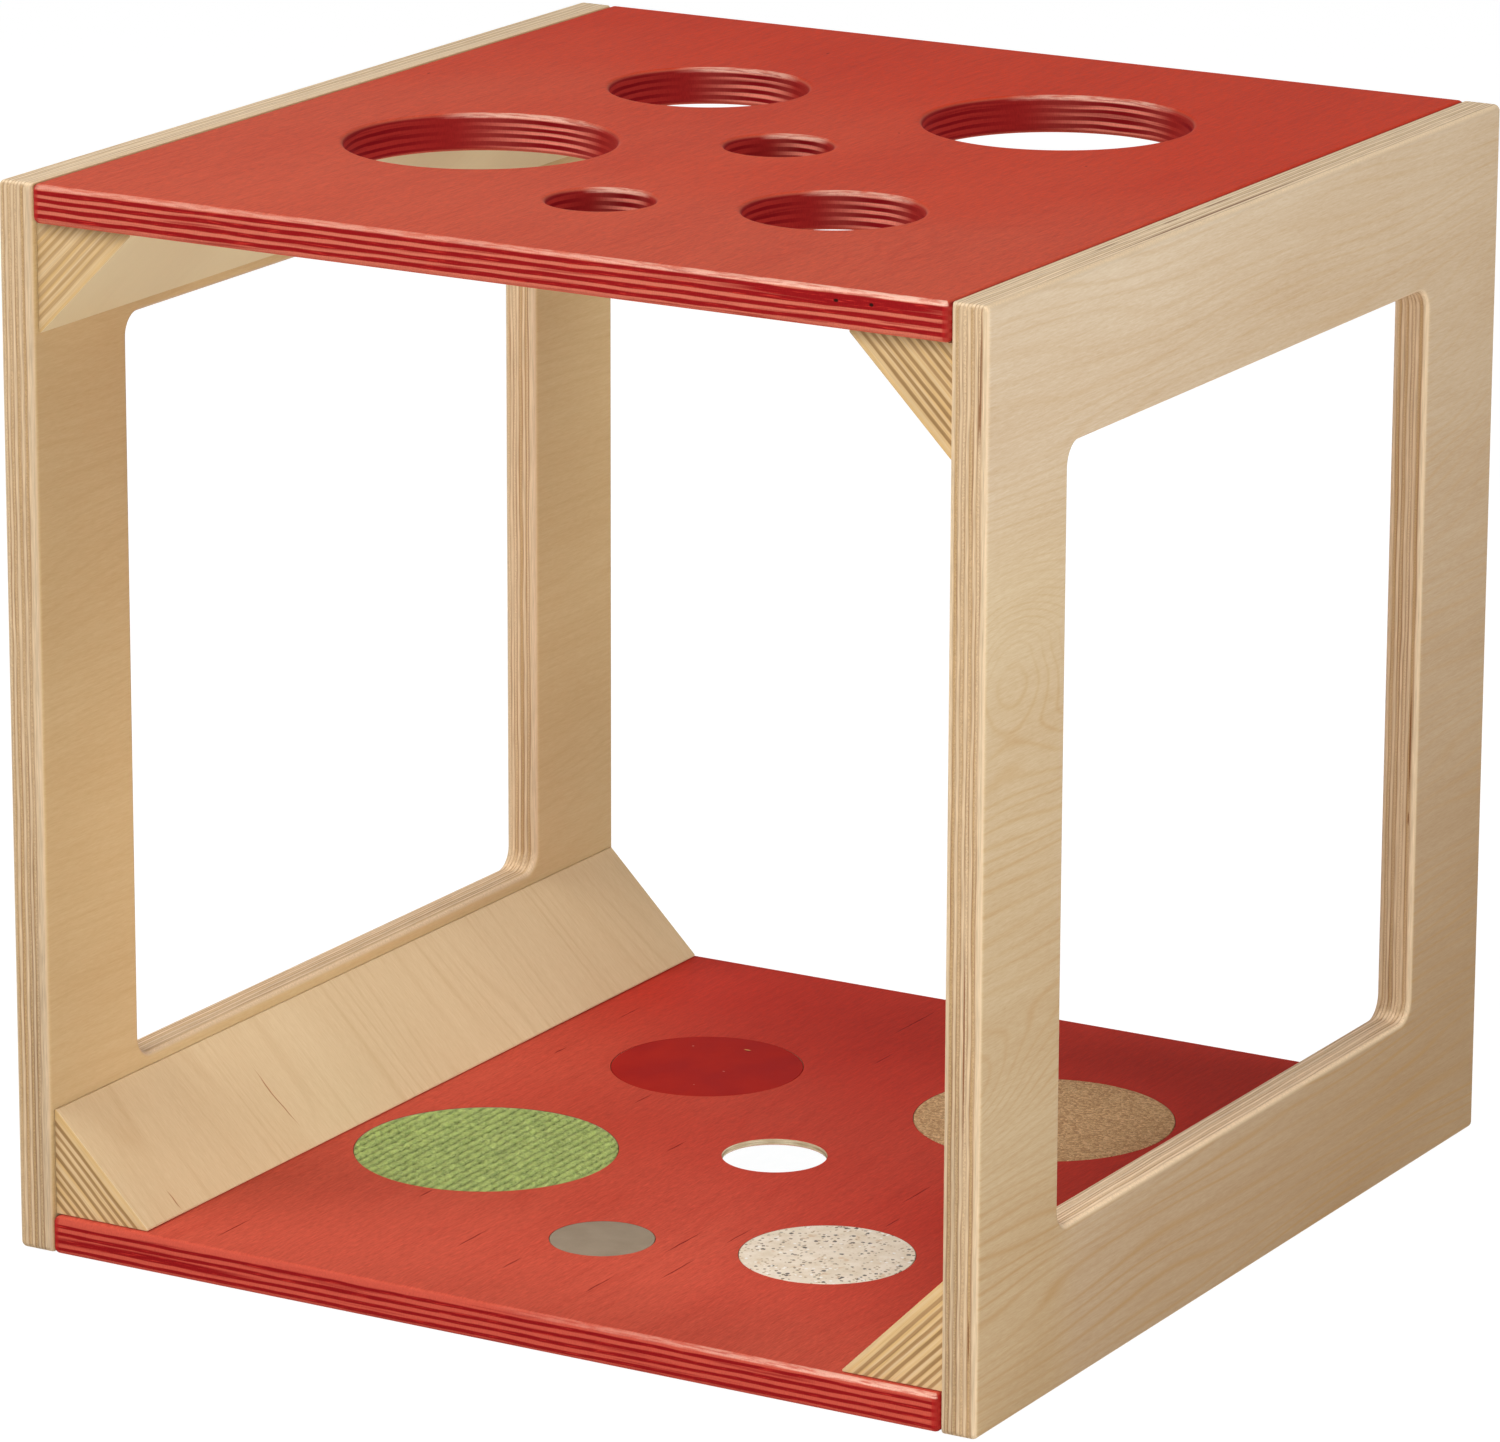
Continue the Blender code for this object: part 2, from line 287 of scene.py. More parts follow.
def disc_rims(widening=0.0):
    """The rims of the openings above or round the discs."""
    rims = []
    for node in DISC_NODES:
        middle = box_middle(node)
        rims.append(circle_rim(middle.x, middle.y, box_size(node).x + widening, side=-1))
    return rims


def build_panel(node, openings, pockets=()):
    size = box_size(node)
    outer = rectangle_rim(size.x / 2, size.y / 2, CORNER_RADIUS, ROUNDING_SEGMENTS)
    place = Matrix.Translation(box_middle(node))
    return rounded_solid(
        node + "_board", [outer, *openings], size.z, EDGE_ROUNDING, place, pockets
    )


def build_bottom_panel():
    """The panel with a round pocket for each disc."""
    face_z = boxes["bottom_panel"][1].z
    pockets = []
    for node, rim in zip(DISC_NODES, disc_rims(2 * GAP)):
        pockets.append((rim, face_z - boxes[node][0].z + GAP))
    return build_panel("bottom_panel", [], pockets)


def in_a_pocket(point):
    for node in DISC_NODES:
        middle = box_middle(node)
        reach = math.hypot(point.x - middle.x, point.y - middle.y)
        if reach < box_size(node).x / 2 + 2 * GAP:
            return True
    return False


def line_pockets(piece, wall_material):
    """Gives the pockets' walls and floors their own, unstained material."""
    piece.data.materials.append(wall_material)
    wall_slot = len(piece.data.materials) - 1
    low, high = boxes["bottom_panel"]
    for face in piece.data.polygons:
        is_inside = low.z + EDGE_ROUNDING < face.center.z < high.z - POCKET_ARRIS
        if is_inside and in_a_pocket(face.center):
            face.material_index = wall_slot


def build_rail(node):
    """A triangular rail whose square corner points to the side frame and the panel."""
    low, high = boxes[node]
    size = high - low
    sign_x = 1 if "right" in node else -1
    sign_z = 1 if "top" in node else -1
    corner_x = high.x if sign_x > 0 else low.x
    corner_z = high.z if sign_z > 0 else low.z
    section = [(0, 0), (size.x, 0), (size.x, RAIL_TIP), (RAIL_TIP, size.z), (0, size.z)]
    corners = [(-sign_x * across, -sign_z * up) for across, up in section]
    rim = rounded_polygon(corners, RAIL_ARRIS * CORNER_SHARE, ARRIS_SEGMENTS)
    # This turn lays the section's Y along Z and the extrusion along Y.
    turn = Matrix(((1, 0, 0, 0), (0, 0, -1, 0), (0, 1, 0, 0), (0, 0, 0, 1)))
    place = Matrix.Translation((corner_x, (low.y + high.y) / 2, corner_z)) @ turn
    return rounded_solid(node + "_prism", [rim], size.y, RAIL_ARRIS, place)


def build_disc(node):
    """A disc with a small arris round its rims."""
    size = box_size(node)
    rim = circle_rim(0, 0, size.x)
    place = Matrix.Translation(box_middle(node))
    return rounded_solid(node + "_face", [rim], size.z, DISC_ARRIS, place)


# Carpet

CARPET_MIDDLE = box_middle("green_carpet_disc")
CARPET_RADIUS = box_size("green_carpet_disc").x / 2
CARPET_BACK_Z = boxes["green_carpet_disc"][0].z
CARPET_FACE_Z = boxes["green_carpet_disc"][1].z
CARPET_COLUMNS = 300
CARPET_ROWS = 150
CARPET_RIM = 0.002
CARPET_RIM_DROP = 0.0003
RIB_PITCH = 0.0051
RIB_HEIGHT = 0.0014
# The higher it is, the narrower the crests of the ribs are.
RIB_SHARPNESS = 0.6
# Wavering of the ribs and unevenness of the pile: size, waves per metre on X and Y, seed.
RIB_WAVER = [(0.0008, 90, 90, 3.0), (0.0004, 240, 170, 8.0)]
PILE_LAYERS = [(0.0009, 260, 300, 5.0), (0.0003, 900, 500, 0.5), (0.00015, 2400, 1900, 1.5)]
PILE_SMOOTH_ANGLE = math.radians(70)

CARPET_SEED = 7
FIBRE_COUNT = 5200
FIBRE_LENGTH = 0.0042
FIBRE_SHORTEST_SHARE = 0.4
FIBRE_WIDTH = 0.00011
FIBRE_END_SHARE = 0.35
FIBRE_LIFT = 0.0005
FIBRE_CURL = 1.6
FIBRE_STEPS = 4
FIBRE_MARGIN = 0.0004
FIBRE_OVERHANG = 0.0006


def layered_noise(layers, x, y):
    total = 0.0
    for size, per_x, per_y, seed in layers:
        total += size * noise.noise((x * per_x, y * per_y, seed))
    return total


def rib_height(x, y):
    """Height of the ribbed pile, 0 at its highest line."""
    turn = FULL_TURN * (x + layered_noise(RIB_WAVER, x, y)) / RIB_PITCH
    crest = 0.5 + 0.5 * math.cos(turn)
    return layered_noise(PILE_LAYERS, x, y) - RIB_HEIGHT * (1 - crest**RIB_SHARPNESS)


def carpet_column(shape, column):
    """A row of vertices across the carpet, which is one vertex at the carpet's two tips."""
    angle = math.pi * column / CARPET_COLUMNS
    across = -CARPET_RADIUS * math.cos(angle)
    reach = CARPET_RADIUS * math.sin(angle)
    is_tip = column in (0, CARPET_COLUMNS)
    vertices = []
    for row in range(1 if is_tip else CARPET_ROWS + 1):
        along = 0.0 if is_tip else reach * (2 * row / CARPET_ROWS - 1)
        near_rim = math.hypot(across, along) - (CARPET_RADIUS - CARPET_RIM)
        rim_share = max(0.0, near_rim) / CARPET_RIM
        x = CARPET_MIDDLE.x + across
        y = CARPET_MIDDLE.y + along
        height = rib_height(x, y) * (1 - rim_share) - CARPET_RIM_DROP * rim_share
        vertices.append(shape.verts.new((x, y, CARPET_FACE_Z + height)))
    return vertices


def build_carpet():
    """A disc of ribbed pile: a fine grid lifted into ribs, closed by a wall and a flat back."""
    shape = bmesh.new()
    columns = [carpet_column(shape, column) for column in range(CARPET_COLUMNS + 1)]
    for first, second in zip(columns, columns[1:]):
        for row in range(CARPET_ROWS):
            # At a tip, both rows share its one vertex, which the face has once.
            ring = [(first, row), (second, row), (second, row + 1), (first, row + 1)]
            corners = dict.fromkeys(column[min(step, len(column) - 1)] for column, step in ring)
            shape.faces.new(list(corners))
    rim = [edge for edge in shape.edges if edge.is_boundary]
    for item in bmesh.ops.extrude_edge_only(shape, edges=rim)["geom"]:
        if isinstance(item, bmesh.types.BMVert):
            item.co.z = CARPET_BACK_Z
    bmesh.ops.holes_fill(shape, edges=[edge for edge in shape.edges if edge.is_boundary])
    bmesh.ops.recalc_face_normals(shape, faces=shape.faces)
    mesh = finish_mesh(shape, "green_carpet_disc_pile")
    mesh.shade_smooth()
    mesh.set_sharp_from_angle(angle=PILE_SMOOTH_ANGLE)
    return link_piece(mesh)


def add_fibre(vertices, faces, points):
    """A thin three-sided strand along the points."""
    first = len(vertices)
    for index, point in enumerate(points):
        before = points[max(index - 1, 0)]
        after = points[min(index + 1, len(points) - 1)]
        along = (after - before).normalized()
        side = along.cross(Vector((0, 0, 1))).normalized()
        up = side.cross(along).normalized()
        is_end = index in (0, len(points) - 1)
        half_width = FIBRE_WIDTH / 2 * (FIBRE_END_SHARE if is_end else 1.0)
        for corner in range(3):
            angle = FULL_TURN * corner / 3 + math.pi / 2
            offset = side * math.cos(angle) + up * math.sin(angle)
            vertices.append(point + offset * half_width)
    for step in range(len(points) - 1):
        ring = first + 3 * step
        for corner in range(3):
            after = (corner + 1) % 3
            faces.append((ring + corner, ring + after, ring + 3 + after, ring + 3 + corner))
    last = len(vertices) - 3
    faces.append((first + 2, first + 1, first))
    faces.append((last, last + 1, last + 2))


def build_carpet_fibres():
    """Loose curled strands that lie in all directions on the carpet's ribs."""
    draw = random.Random(CARPET_SEED)
    vertices = []
    faces = []
    for _ in range(FIBRE_COUNT):
        reach = (CARPET_RADIUS - FIBRE_MARGIN) * math.sqrt(draw.random())
        turn = FULL_TURN * draw.random()
        heading = FULL_TURN * draw.random()
        curl = draw.uniform(-FIBRE_CURL, FIBRE_CURL)
        length = FIBRE_LENGTH * draw.uniform(FIBRE_SHORTEST_SHARE, 1.0)
        lift = FIBRE_LIFT * draw.random()
        x = CARPET_MIDDLE.x + reach * math.cos(turn)
        y = CARPET_MIDDLE.y + reach * math.sin(turn)
        points = []
        for step in range(FIBRE_STEPS + 1):
            share = step / FIBRE_STEPS
            height = rib_height(x, y) + lift * math.sin(math.pi * share) - FIBRE_WIDTH / 2
            points.append(Vector((x, y, CARPET_FACE_Z + height)))
            angle = heading + curl * share
            x += math.cos(angle) * length / FIBRE_STEPS
            y += math.sin(angle) * length / FIBRE_STEPS
        furthest = max(
            math.hypot(point.x - CARPET_MIDDLE.x, point.y - CARPET_MIDDLE.y) for point in points
        )
        if furthest < CARPET_RADIUS + FIBRE_OVERHANG:
            add_fibre(vertices, faces, points)
    mesh = bpy.data.meshes.new("green_carpet_disc_fibres")
    mesh.from_pydata(vertices, [], faces)
    mesh.shade_smooth()
    return link_piece(mesh)


# Material nodes


def feed(socket, value):
    if isinstance(value, Value):
        socket.id_data.links.new(value.socket, socket)
    else:
        socket.default_value = value


def feed_named(node, values):
    for name, value in values.items():
        feed(node.inputs[name], value)


def add_node(tree, kind, *inputs, **settings):
    """A new node with its settings made and its first inputs fed."""
    node = tree.nodes.new("ShaderNode" + kind)
    for name, setting in settings.items():
        setattr(node, name, setting)
    for socket, value in zip(node.inputs, inputs):
        feed(socket, value)
    return node


def output(tree, kind, *inputs, **settings):
    """The first output of a new node."""
    return Value(add_node(tree, kind, *inputs, **settings).outputs[0])


class Value:
    """A number, place or colour that a node gives. Arithmetic on it adds nodes to its tree.

    first | second is the larger of two numbers.
    """

    def __init__(self, socket):
        self.socket = socket

    @property
    def tree(self):
        return self.socket.id_data

    def math(self, operation, *others):
        return output(self.tree, "Math", self, *others, operation=operation)

    def __add__(self, other):
        return self.math("ADD", other)

    def __sub__(self, other):
        return self.math("SUBTRACT", other)

    def __rsub__(self, other):
        return self.math("MULTIPLY_ADD", -1.0, other)

    def __mul__(self, other):
        return self.math("MULTIPLY", other)

    __rmul__ = __mul__

    def __truediv__(self, other):
        return self.math("DIVIDE", other)

    def __or__(self, other):
        return self.math("MAXIMUM", other)

    def __abs__(self):
        return self.math("ABSOLUTE")

    def line(self, low, high, out_low=0.0, out_high=1.0, shape="LINEAR"):
        """A straight, limited change as this value goes from low to high."""
        inputs = (self, low, high, out_low, out_high)
        return output(self.tree, "MapRange", *inputs, interpolation_type=shape)

    def smooth(self, low, high, out_low=0.0, out_high=1.0):
        """A soft step as this value goes from low to high."""
        return self.line(low, high, out_low, out_high, "SMOOTHSTEP")

    def scaled(self, factors, offset=(0, 0, 0)):
        return output(self.tree, "VectorMath", self, factors, offset, operation="MULTIPLY_ADD")

    def length(self):
        return Value(add_node(self.tree, "VectorMath", self, operation="LENGTH").outputs["Value"])

    def split(self):
        return [Value(part) for part in add_node(self.tree, "SeparateXYZ", self).outputs]

    def brighten(self, gain):
        """This colour times a gain that varies over the surface."""
        return self.scaled(combine(gain, gain, gain))

    def noise(self, sizes, detail=2.0, roughness=0.5, seed=0.0, distortion=0.0):
        """Noise about 0.5 over this place, in patches of the given sizes along its axes."""
        factors = [1 / size for size in sizes]
        node = add_node(self.tree, "TexNoise", self.scaled(factors, (seed, seed, seed)))
        texture = {"Scale": 1.0, "Detail": detail, "Roughness": roughness, "Distortion": distortion}
        feed_named(node, texture)
        return Value(node.outputs["Fac"])

    def cells(self, size, feature="F1", seed=0.0):
        """Cells of the given size: distance, and a colour for each cell, which edges have not."""
        moved = self.scaled((1 / size,) * 3, (seed, seed, seed))
        node = add_node(self.tree, "TexVoronoi", moved, feature=feature)
        node.inputs["Scale"].default_value = 1.0
        return Value(node.outputs["Distance"]), Value(node.outputs.get("Color"))


def combine(x, y, z=0.0):
    return output(x.tree, "CombineXYZ", x, y, z)


def mix(share, first, second):
    """The colour from first to second by share."""
    node = add_node(share.tree, "Mix", share, data_type="RGBA")
    feed(node.inputs[6], first)
    feed(node.inputs[7], second)
    return Value(node.outputs[2])


def blend(share, first, second):
    """The number from first to second by share."""
    node = add_node(share.tree, "Mix", share)
    feed(node.inputs[2], first)
    feed(node.inputs[3], second)
    return Value(node.outputs[0])


def square(value):
    return value * value


class Skin:
    """One new material. Its places are millimetres in the model's frame."""

    def __init__(self, name):
        self.material = bpy.data.materials.new(name)
        self.material.use_nodes = True
        self.tree = self.material.node_tree
        self.shader = self.tree.nodes["Principled BSDF"]
        coordinates = add_node(self.tree, "TexCoord").outputs
        self.place = Value(coordinates["Object"]).scaled((MILLIMETRES,) * 3)
        self.noise = self.place.noise
        self.x, self.y, self.z = self.place.split()
        self.normal_x, self.normal_y, self.normal_z = Value(coordinates["Normal"]).split()

    def bump(self, height, distance):
        """Relief of the given height in metres where the input is 1."""
        node = add_node(self.tree, "Bump")
        feed_named(node, {"Strength": 1.0, "Distance": distance, "Height": height})
        feed(self.shader.inputs["Normal"], Value(node.outputs["Normal"]))

    def finish(self, colour, roughness, specular, metallic=0.0):
        surface = {"Base Color": colour, "Roughness": roughness, "Metallic": metallic}
        feed_named(self.shader, surface)
        self.shader.inputs["Specular IOR Level"].default_value = specular
        return self.material


# Figure of wood. All distances in the materials are millimetres.

# A spot is solid over this share of its size, and fades to its rim.
SPOT_CORE = 0.55
GROWTH_SWAY_LINES = 4
GROWTH_LINE_SHARPNESS = 6.0


def away(plane, centre, reach):
    """Distance from a point of the plane, in shares of the reach along both axes."""
    factors = (1 / reach[0], 1 / reach[1], 0)
    offset = (-centre[0] / reach[0], -centre[1] / reach[1], 0)
    return plane.scaled(factors, offset).length()


def marks(plane, spots):
    """1 inside long thin spots, each given by its centre, half width and half length."""
    found = 0.0
    for centre_u, centre_v, half_u, half_v in spots:
        distance = away(plane, (centre_u, centre_v), (half_u, half_v))
        found = distance.line(1.0, SPOT_CORE) | found
    return found


def hill(plane, centre, reach, rise):
    """A smooth hill over a point of the plane."""
    return (square(away(plane, centre, reach)) * -1.0).math("EXPONENT") * rise


def growth_lines(place, spacing, hills, seed, least=0.0):
    """1 on the dark lines where the veneer cuts the growth rings, and 0 between them.

    The place's first axis runs across the grain and its second along it. Each hill pushes the
    lines aside: its centre and reach along those axes, and how many lines. Where they are
    faintest, the least share of them is left.
    """
    across = place.split()[0]
    sway = place.noise((45, 320, 45), 1.5, 0.45, seed + 11)
    field = across * (1 / spacing) + sway.line(0, 1, -GROWTH_SWAY_LINES, GROWTH_SWAY_LINES)
    for centre, reach, rise in hills:
        field = field + hill(place, centre, reach, rise)
    wave = (field * FULL_TURN).math("COSINE").line(-1, 1)
    presence = place.noise((26, 130, 26), 1.5, 0.5, seed + 23).smooth(0.36, 0.66, least, 1.0)
    return wave.math("POWER", GROWTH_LINE_SHARPNESS) * presence


def grain_tone(place, seed):
    """Streaks and clouds of a veneer, about -1 to 1, and its finest fibres as noise about 0.5."""
    broad = place.noise((60, 260, 60), 2, 0.5, seed).line(0.3, 0.7, -0.45, 0.45)
    wide = place.noise((4.5, 90, 4.5), 2, 0.55, seed + 3).line(0.28, 0.72, -0.26, 0.26)
    streaks = place.noise((0.9, 26, 0.9), 3, 0.6, seed + 5).line(0.25, 0.75, -0.45, 0.45)
    fine = place.noise((0.45, 5, 0.45), 2, 0.55, seed + 31)
    return broad + wide + streaks + fine.line(0.25, 0.75, -0.75, 0.75), fine


def ply_share(depth, first, last, period, low=-0.5, high=0.6):
    """1 in the plies of the first kind, 0 in the others, with soft borders.

    It takes the depth through the board, the middles of the first and last such ply and the
    distance from one to the next. The lower the last two numbers are, from -1 to 1, the thicker
    these plies are.
    """
    held = (depth | first - period / 2).math("MINIMUM", last + period / 2)
    return ((held - first) * (FULL_TURN / period)).math("COSINE").smooth(low, high)


# Red-stained plywood

RED_FACE_DARK = srgb(168, 42, 34)
RED_BORE_LIGHT = srgb(162, 46, 39)
RED_BORE_HIGHLIGHT = srgb(226, 134, 114)
RED_BORE_DARK = srgb(118, 14, 20)
RED_EDGE_DARK = srgb(130, 20, 22)
RED_EDGE_END = srgb(154, 30, 29)
RED_WEAR_AND_HIGHLIGHT = srgb(228, 176, 156)
RED_SMEAR = srgb(176, 46, 38)
RED_CHECK = srgb(122, 20, 19)
DARK_VOID = srgb(40, 18, 14)
RED_LINE_SPACING = 11
RED_PLY_PERIOD = 3.6
# Painted sheen makes the face palest in front and painted shade darkest at the back, and their
# border wanders.
PAINTED_SHADE_BACK = -190
PAINTED_SHEEN_FRONT = 210
SHEEN_BORDER_WANDER = 60
# A panel's end, and where its corners' own colour starts and is full.
PANEL_END = 231.7
CORNER_START = PANEL_END - 4.2
CORNER_FULL = PANEL_END - 2.8
# Upright faces nearer to the middle than this belong to a hole or a pocket.
HOLES_WITHIN = 240
# The direction that the back of a bore faces, along X and Y; the painted highlights on the rims and
# bores centre on it.
BORE_BACK_X = 0.15
BORE_BACK_Y = -0.985
# Where a painted pool of light lies on a panel's middle, and its reach.
PANEL_MIDDLE = (10, -50)
PANEL_MIDDLE_REACH = (90, 80)
CHECK_BEND = 1.2
CHECK_HALF_WIDTH = 0.42


def check_spots(checks):
    """Spots for checks that are given by x and by y from and to."""
    return [(x, (low + high) / 2, CHECK_HALF_WIDTH, (high - low) / 2) for x, low, high in checks]


# The look of each red panel. Its painted sheen and shade lean to the left by the lean, and light is
# painted in a pool on its middle. The plies are the middles of the first and last dark one above
# the lower face, and the lower their spread is, the thicker the dark ones are. The wear and
# highlight is how pale the rounded edges are, from rubbing and a painted highlight. The dark plies
# are light ones that took the full stain.
TOP_LOOK = SimpleNamespace(
    seed=40.0,
    face_front=srgb(205, 88, 63),
    face_back=srgb(203, 63, 38),
    lean=0.35,
    middle_painted_light=0.0,
    lower_face=482.0,
    first_ply=3.8,
    last_ply=14.7,
    ply_spread=-0.2,
    edge_light=srgb(186, 97, 77),
    left_wear_and_highlight=0.42,
    right_wear_and_highlight=1.0,
    hole_wear_and_highlight=0.85,
    hills=[((60, -260), (140, 200), 16)],
    checks=[
        (-78.6, 194.6, 0.6, 1.6), (-216, 55, 0.6, 1.6), (43, 46, 0.8, 0.8), (151, 24, 0.6, 0.9),
    ],
    voids=[(177.5, 494.5, 1.5, 0.9), (194.5, 494.5, 1.3, 1.0)],
    dark_plies=[(180, 495.2, 75, 2.6)],
)
FLOOR_LOOK = SimpleNamespace(
    seed=70.0,
    face_front=srgb(203, 88, 68),
    face_back=srgb(194, 57, 44),
    lean=0.6,
    middle_painted_light=0.08,
    lower_face=0.0,
    first_ply=3.0,
    last_ply=13.7,
    ply_spread=0.05,
    edge_light=srgb(182, 76, 60),
    left_wear_and_highlight=0.0,
    right_wear_and_highlight=0.9,
    hole_wear_and_highlight=0.0,
    hills=[((-40, 120), (90, 160), 5)],
    checks=check_spots([
        (-33, 182, 233), (-162, 137, 160), (-18, 137, 160), (-86.7, 27, 45), (-160, 73, 87),
        (-36.7, -28, -7), (94.3, -37, -5), (104, -70, -52), (35.7, -153, -115), (53, -127, -100),
        (52, -183, -150), (-101.7, -142, -128), (-50, -193, -163), (-16.7, -207, -188),
        (32, -217, -187), (-151, -237, -205),
    ]),
    voids=[],
    dark_plies=[(-180, 7.6, 70, 1.6)],
)


def red_face(skin, look):
    """The stained face veneer, with painted sheen in front and painted shade at the back, and its
    finest fibres.
    """
    tone, fine = grain_tone(skin.place, look.seed)
    lines = growth_lines(skin.place, RED_LINE_SPACING, look.hills, look.seed)
    patches = skin.noise((120, 160, 120), 2, 0.5, look.seed + 17)
    stain = patches.line(0.3, 0.7, -SHEEN_BORDER_WANDER, SHEEN_BORDER_WANDER)
    # Painted sheen towards the front and painted shade towards the back, leaning with X.
    to_front = (stain - (skin.x * look.lean + skin.y)).smooth(PAINTED_SHADE_BACK, PAINTED_SHEEN_FRONT)
    colour = mix(to_front, look.face_back, look.face_front)
    colour = mix((lines * -0.55 + tone).line(0.5, -2.2, 0, 0.6), colour, RED_FACE_DARK)
    fibres = skin.noise((1.1, 13, 1.1), 2, 0.6, look.seed + 47).line(0.3, 0.7, 0.92, 1.08)
    return colour.brighten(fine.line(0.25, 0.75, -0.12, 0.12) + fibres), fine


def red_end_grain(skin, look):
    """1 where an edge cuts the plies across their grain, and where it took as much stain."""
    wobble = skin.noise((34, 34, 6), 2, 0.5, look.seed + 2).line(0.3, 0.7, -0.35, 0.35)
    depth = skin.z - look.lower_face + wobble
    low = look.ply_spread - 0.4
    high = look.ply_spread + 0.4
    across = ply_share(depth, look.first_ply, look.last_ply, RED_PLY_PERIOD, low, high)
    end_grain = across * square(skin.normal_y) + (1.0 - across) * square(skin.normal_x)
    smear = skin.noise((60, 60, 1.7), 2, 0.55, look.seed + 7).smooth(0.5, 0.72)
    return end_grain | smear * 0.7 | marks(combine(skin.x, skin.z), look.dark_plies)


def red_edge(skin, look, level, facing, in_hole):
    """The plies of the outer edges and of the bores.

    The bores are darker than the outer edges, with painted shade on their left walls and a painted
    highlight on their light plies at the back.
    """
    end_grain = red_end_grain(skin, look)
    drawn = skin.noise((14, 14, 0.5), 3, 0.6, look.seed + 4).smooth(0.55, 0.7)
    colour = mix(end_grain, look.edge_light, mix(drawn, RED_EDGE_DARK, RED_SMEAR))
    # Painted highlight on the bores' light plies at the back.
    pale = facing.smooth(0.75, 0.98) * look.hole_wear_and_highlight
    bore_light = mix(pale, RED_BORE_LIGHT, RED_BORE_HIGHLIGHT)
    # Painted shade on the bores' left walls.
    bore_light = mix(skin.normal_x.smooth(0.0, 0.8), bore_light, RED_EDGE_END)
    in_bore = in_hole * level.smooth(0.75, 0.45)
    colour = mix(in_bore * 0.92, colour, mix(end_grain, bore_light, RED_BORE_DARK))
    return mix(abs(skin.x).smooth(CORNER_START, CORNER_FULL) * 0.7, colour, RED_EDGE_END)


def red_wear_and_highlight(skin, look, level, facing, in_hole):
    """How pale the rounded edges that face front and back are, in streaks: rubbed wear and a
    painted highlight.
    """
    turned = level.smooth(0.15, 0.45) * level.smooth(0.99, 0.93)
    # The level share of the surface's direction; the hair over 1 keeps it above 0.
    outward = (1.0001 - square(skin.normal_z)).math("SQRT")
    toward = (abs(facing) / outward).smooth(0.72, 0.97)
    wear_and_highlight_share = turned * toward * skin.normal_z.smooth(0.0, 0.1)
    rubbed = skin.noise((11, 11, 0.7), 3, 0.65, look.seed + 41).smooth(0.36, 0.6, 0.25, 1)
    to_right = skin.x.line(0, 200, look.left_wear_and_highlight, look.right_wear_and_highlight)
    return wear_and_highlight_share * (rubbed * blend(in_hole, to_right, look.hole_wear_and_highlight))


def red_ply(skin, look):
    """Red-stained plywood with its grain along Y and its plies across Z."""
    face_colour, fine = red_face(skin, look)
    level = abs(skin.normal_z)
    facing = skin.normal_x * BORE_BACK_X + skin.normal_y * BORE_BACK_Y
    in_hole = abs(skin.y).smooth(HOLES_WITHIN, HOLES_WITHIN - 2)
    edge = level.smooth(0.985, 0.6)
    colour = mix(edge, face_colour, red_edge(skin, look, level, facing, in_hole))
    # Rubbed wear and a painted highlight on the rounded edges.
    colour = mix(red_wear_and_highlight(skin, look, level, facing, in_hole), colour, RED_WEAR_AND_HIGHLIGHT)
    ticks = skin.noise((0.5, 0.5, 1.8), 3, 0.65, look.seed).line(0.25, 0.75, -1, 1)
    # A painted pool of light on the panel's middle.
    painted_light_in_middle = hill(skin.place, PANEL_MIDDLE, PANEL_MIDDLE_REACH, look.middle_painted_light)
    colour = colour.brighten(ticks * (edge * 0.15) + 1.0 + painted_light_in_middle)
    bent = skin.noise((3, 9, 3), 2, 0.6, look.seed) * CHECK_BEND - CHECK_BEND / 2
    crack = marks(combine(skin.x + bent, skin.y), look.checks) * skin.normal_z.smooth(0.6, 0.9)
    colour = mix(crack * 0.9, colour, RED_CHECK)
    faces_front = skin.normal_y.smooth(-0.6, -0.9)
    hollow = marks(combine(skin.x, skin.z), look.voids) * faces_front
    colour = mix(hollow, colour, DARK_VOID)
    skin.bump(fine * 0.6 - (crack | hollow), 0.00012)
    return skin.finish(colour, fine.line(0.2, 0.8, 0.42, 0.6), 0.012)


# Clear birch plywood

OUTER_FACE_LIT_UPPER = srgb(215, 197, 171)
OUTER_FACE_SHADED_LOWER = srgb(177, 151, 118)
FACE_DARK_SHARE = srgb(233, 219, 203)[:3]
STILE_SHARE = srgb(255, 253, 242)[:3]
INNER_FACE = srgb(223, 199, 151)
GROWTH_LINE = srgb(184, 144, 92)
BIRCH_EDGE_LIGHT = srgb(216, 188, 152)
BIRCH_EDGE_DARK = srgb(190, 156, 112)
BIRCH_GLUE_LINE = srgb(146, 104, 66)
BIRCH_TOP_SHEEN = srgb(236, 216, 186)
BIRCH_ARRIS_WEAR_AND_HIGHLIGHT = srgb(228, 204, 170)
BIRCH_VOID = srgb(112, 64, 30)
BIRCH_LINE_SPACING = 7
BIRCH_LEAST_LINES = 0.4
FRAME_INNER = 232.0
FIRST_PLY = 3.8
LAST_PLY = 14.4
PLY_PERIOD = 3.5
FIRST_GLUE_LINE = 2.9
GLUE_LINE_PERIOD = 1.75
# The outer face goes from its painted-shade lower colour to its painted-light upper colour between
# two heights, which lean with Y.
OUTER_FACE_LEAN = -0.6
OUTER_FACE_FADE = (-70, 550)
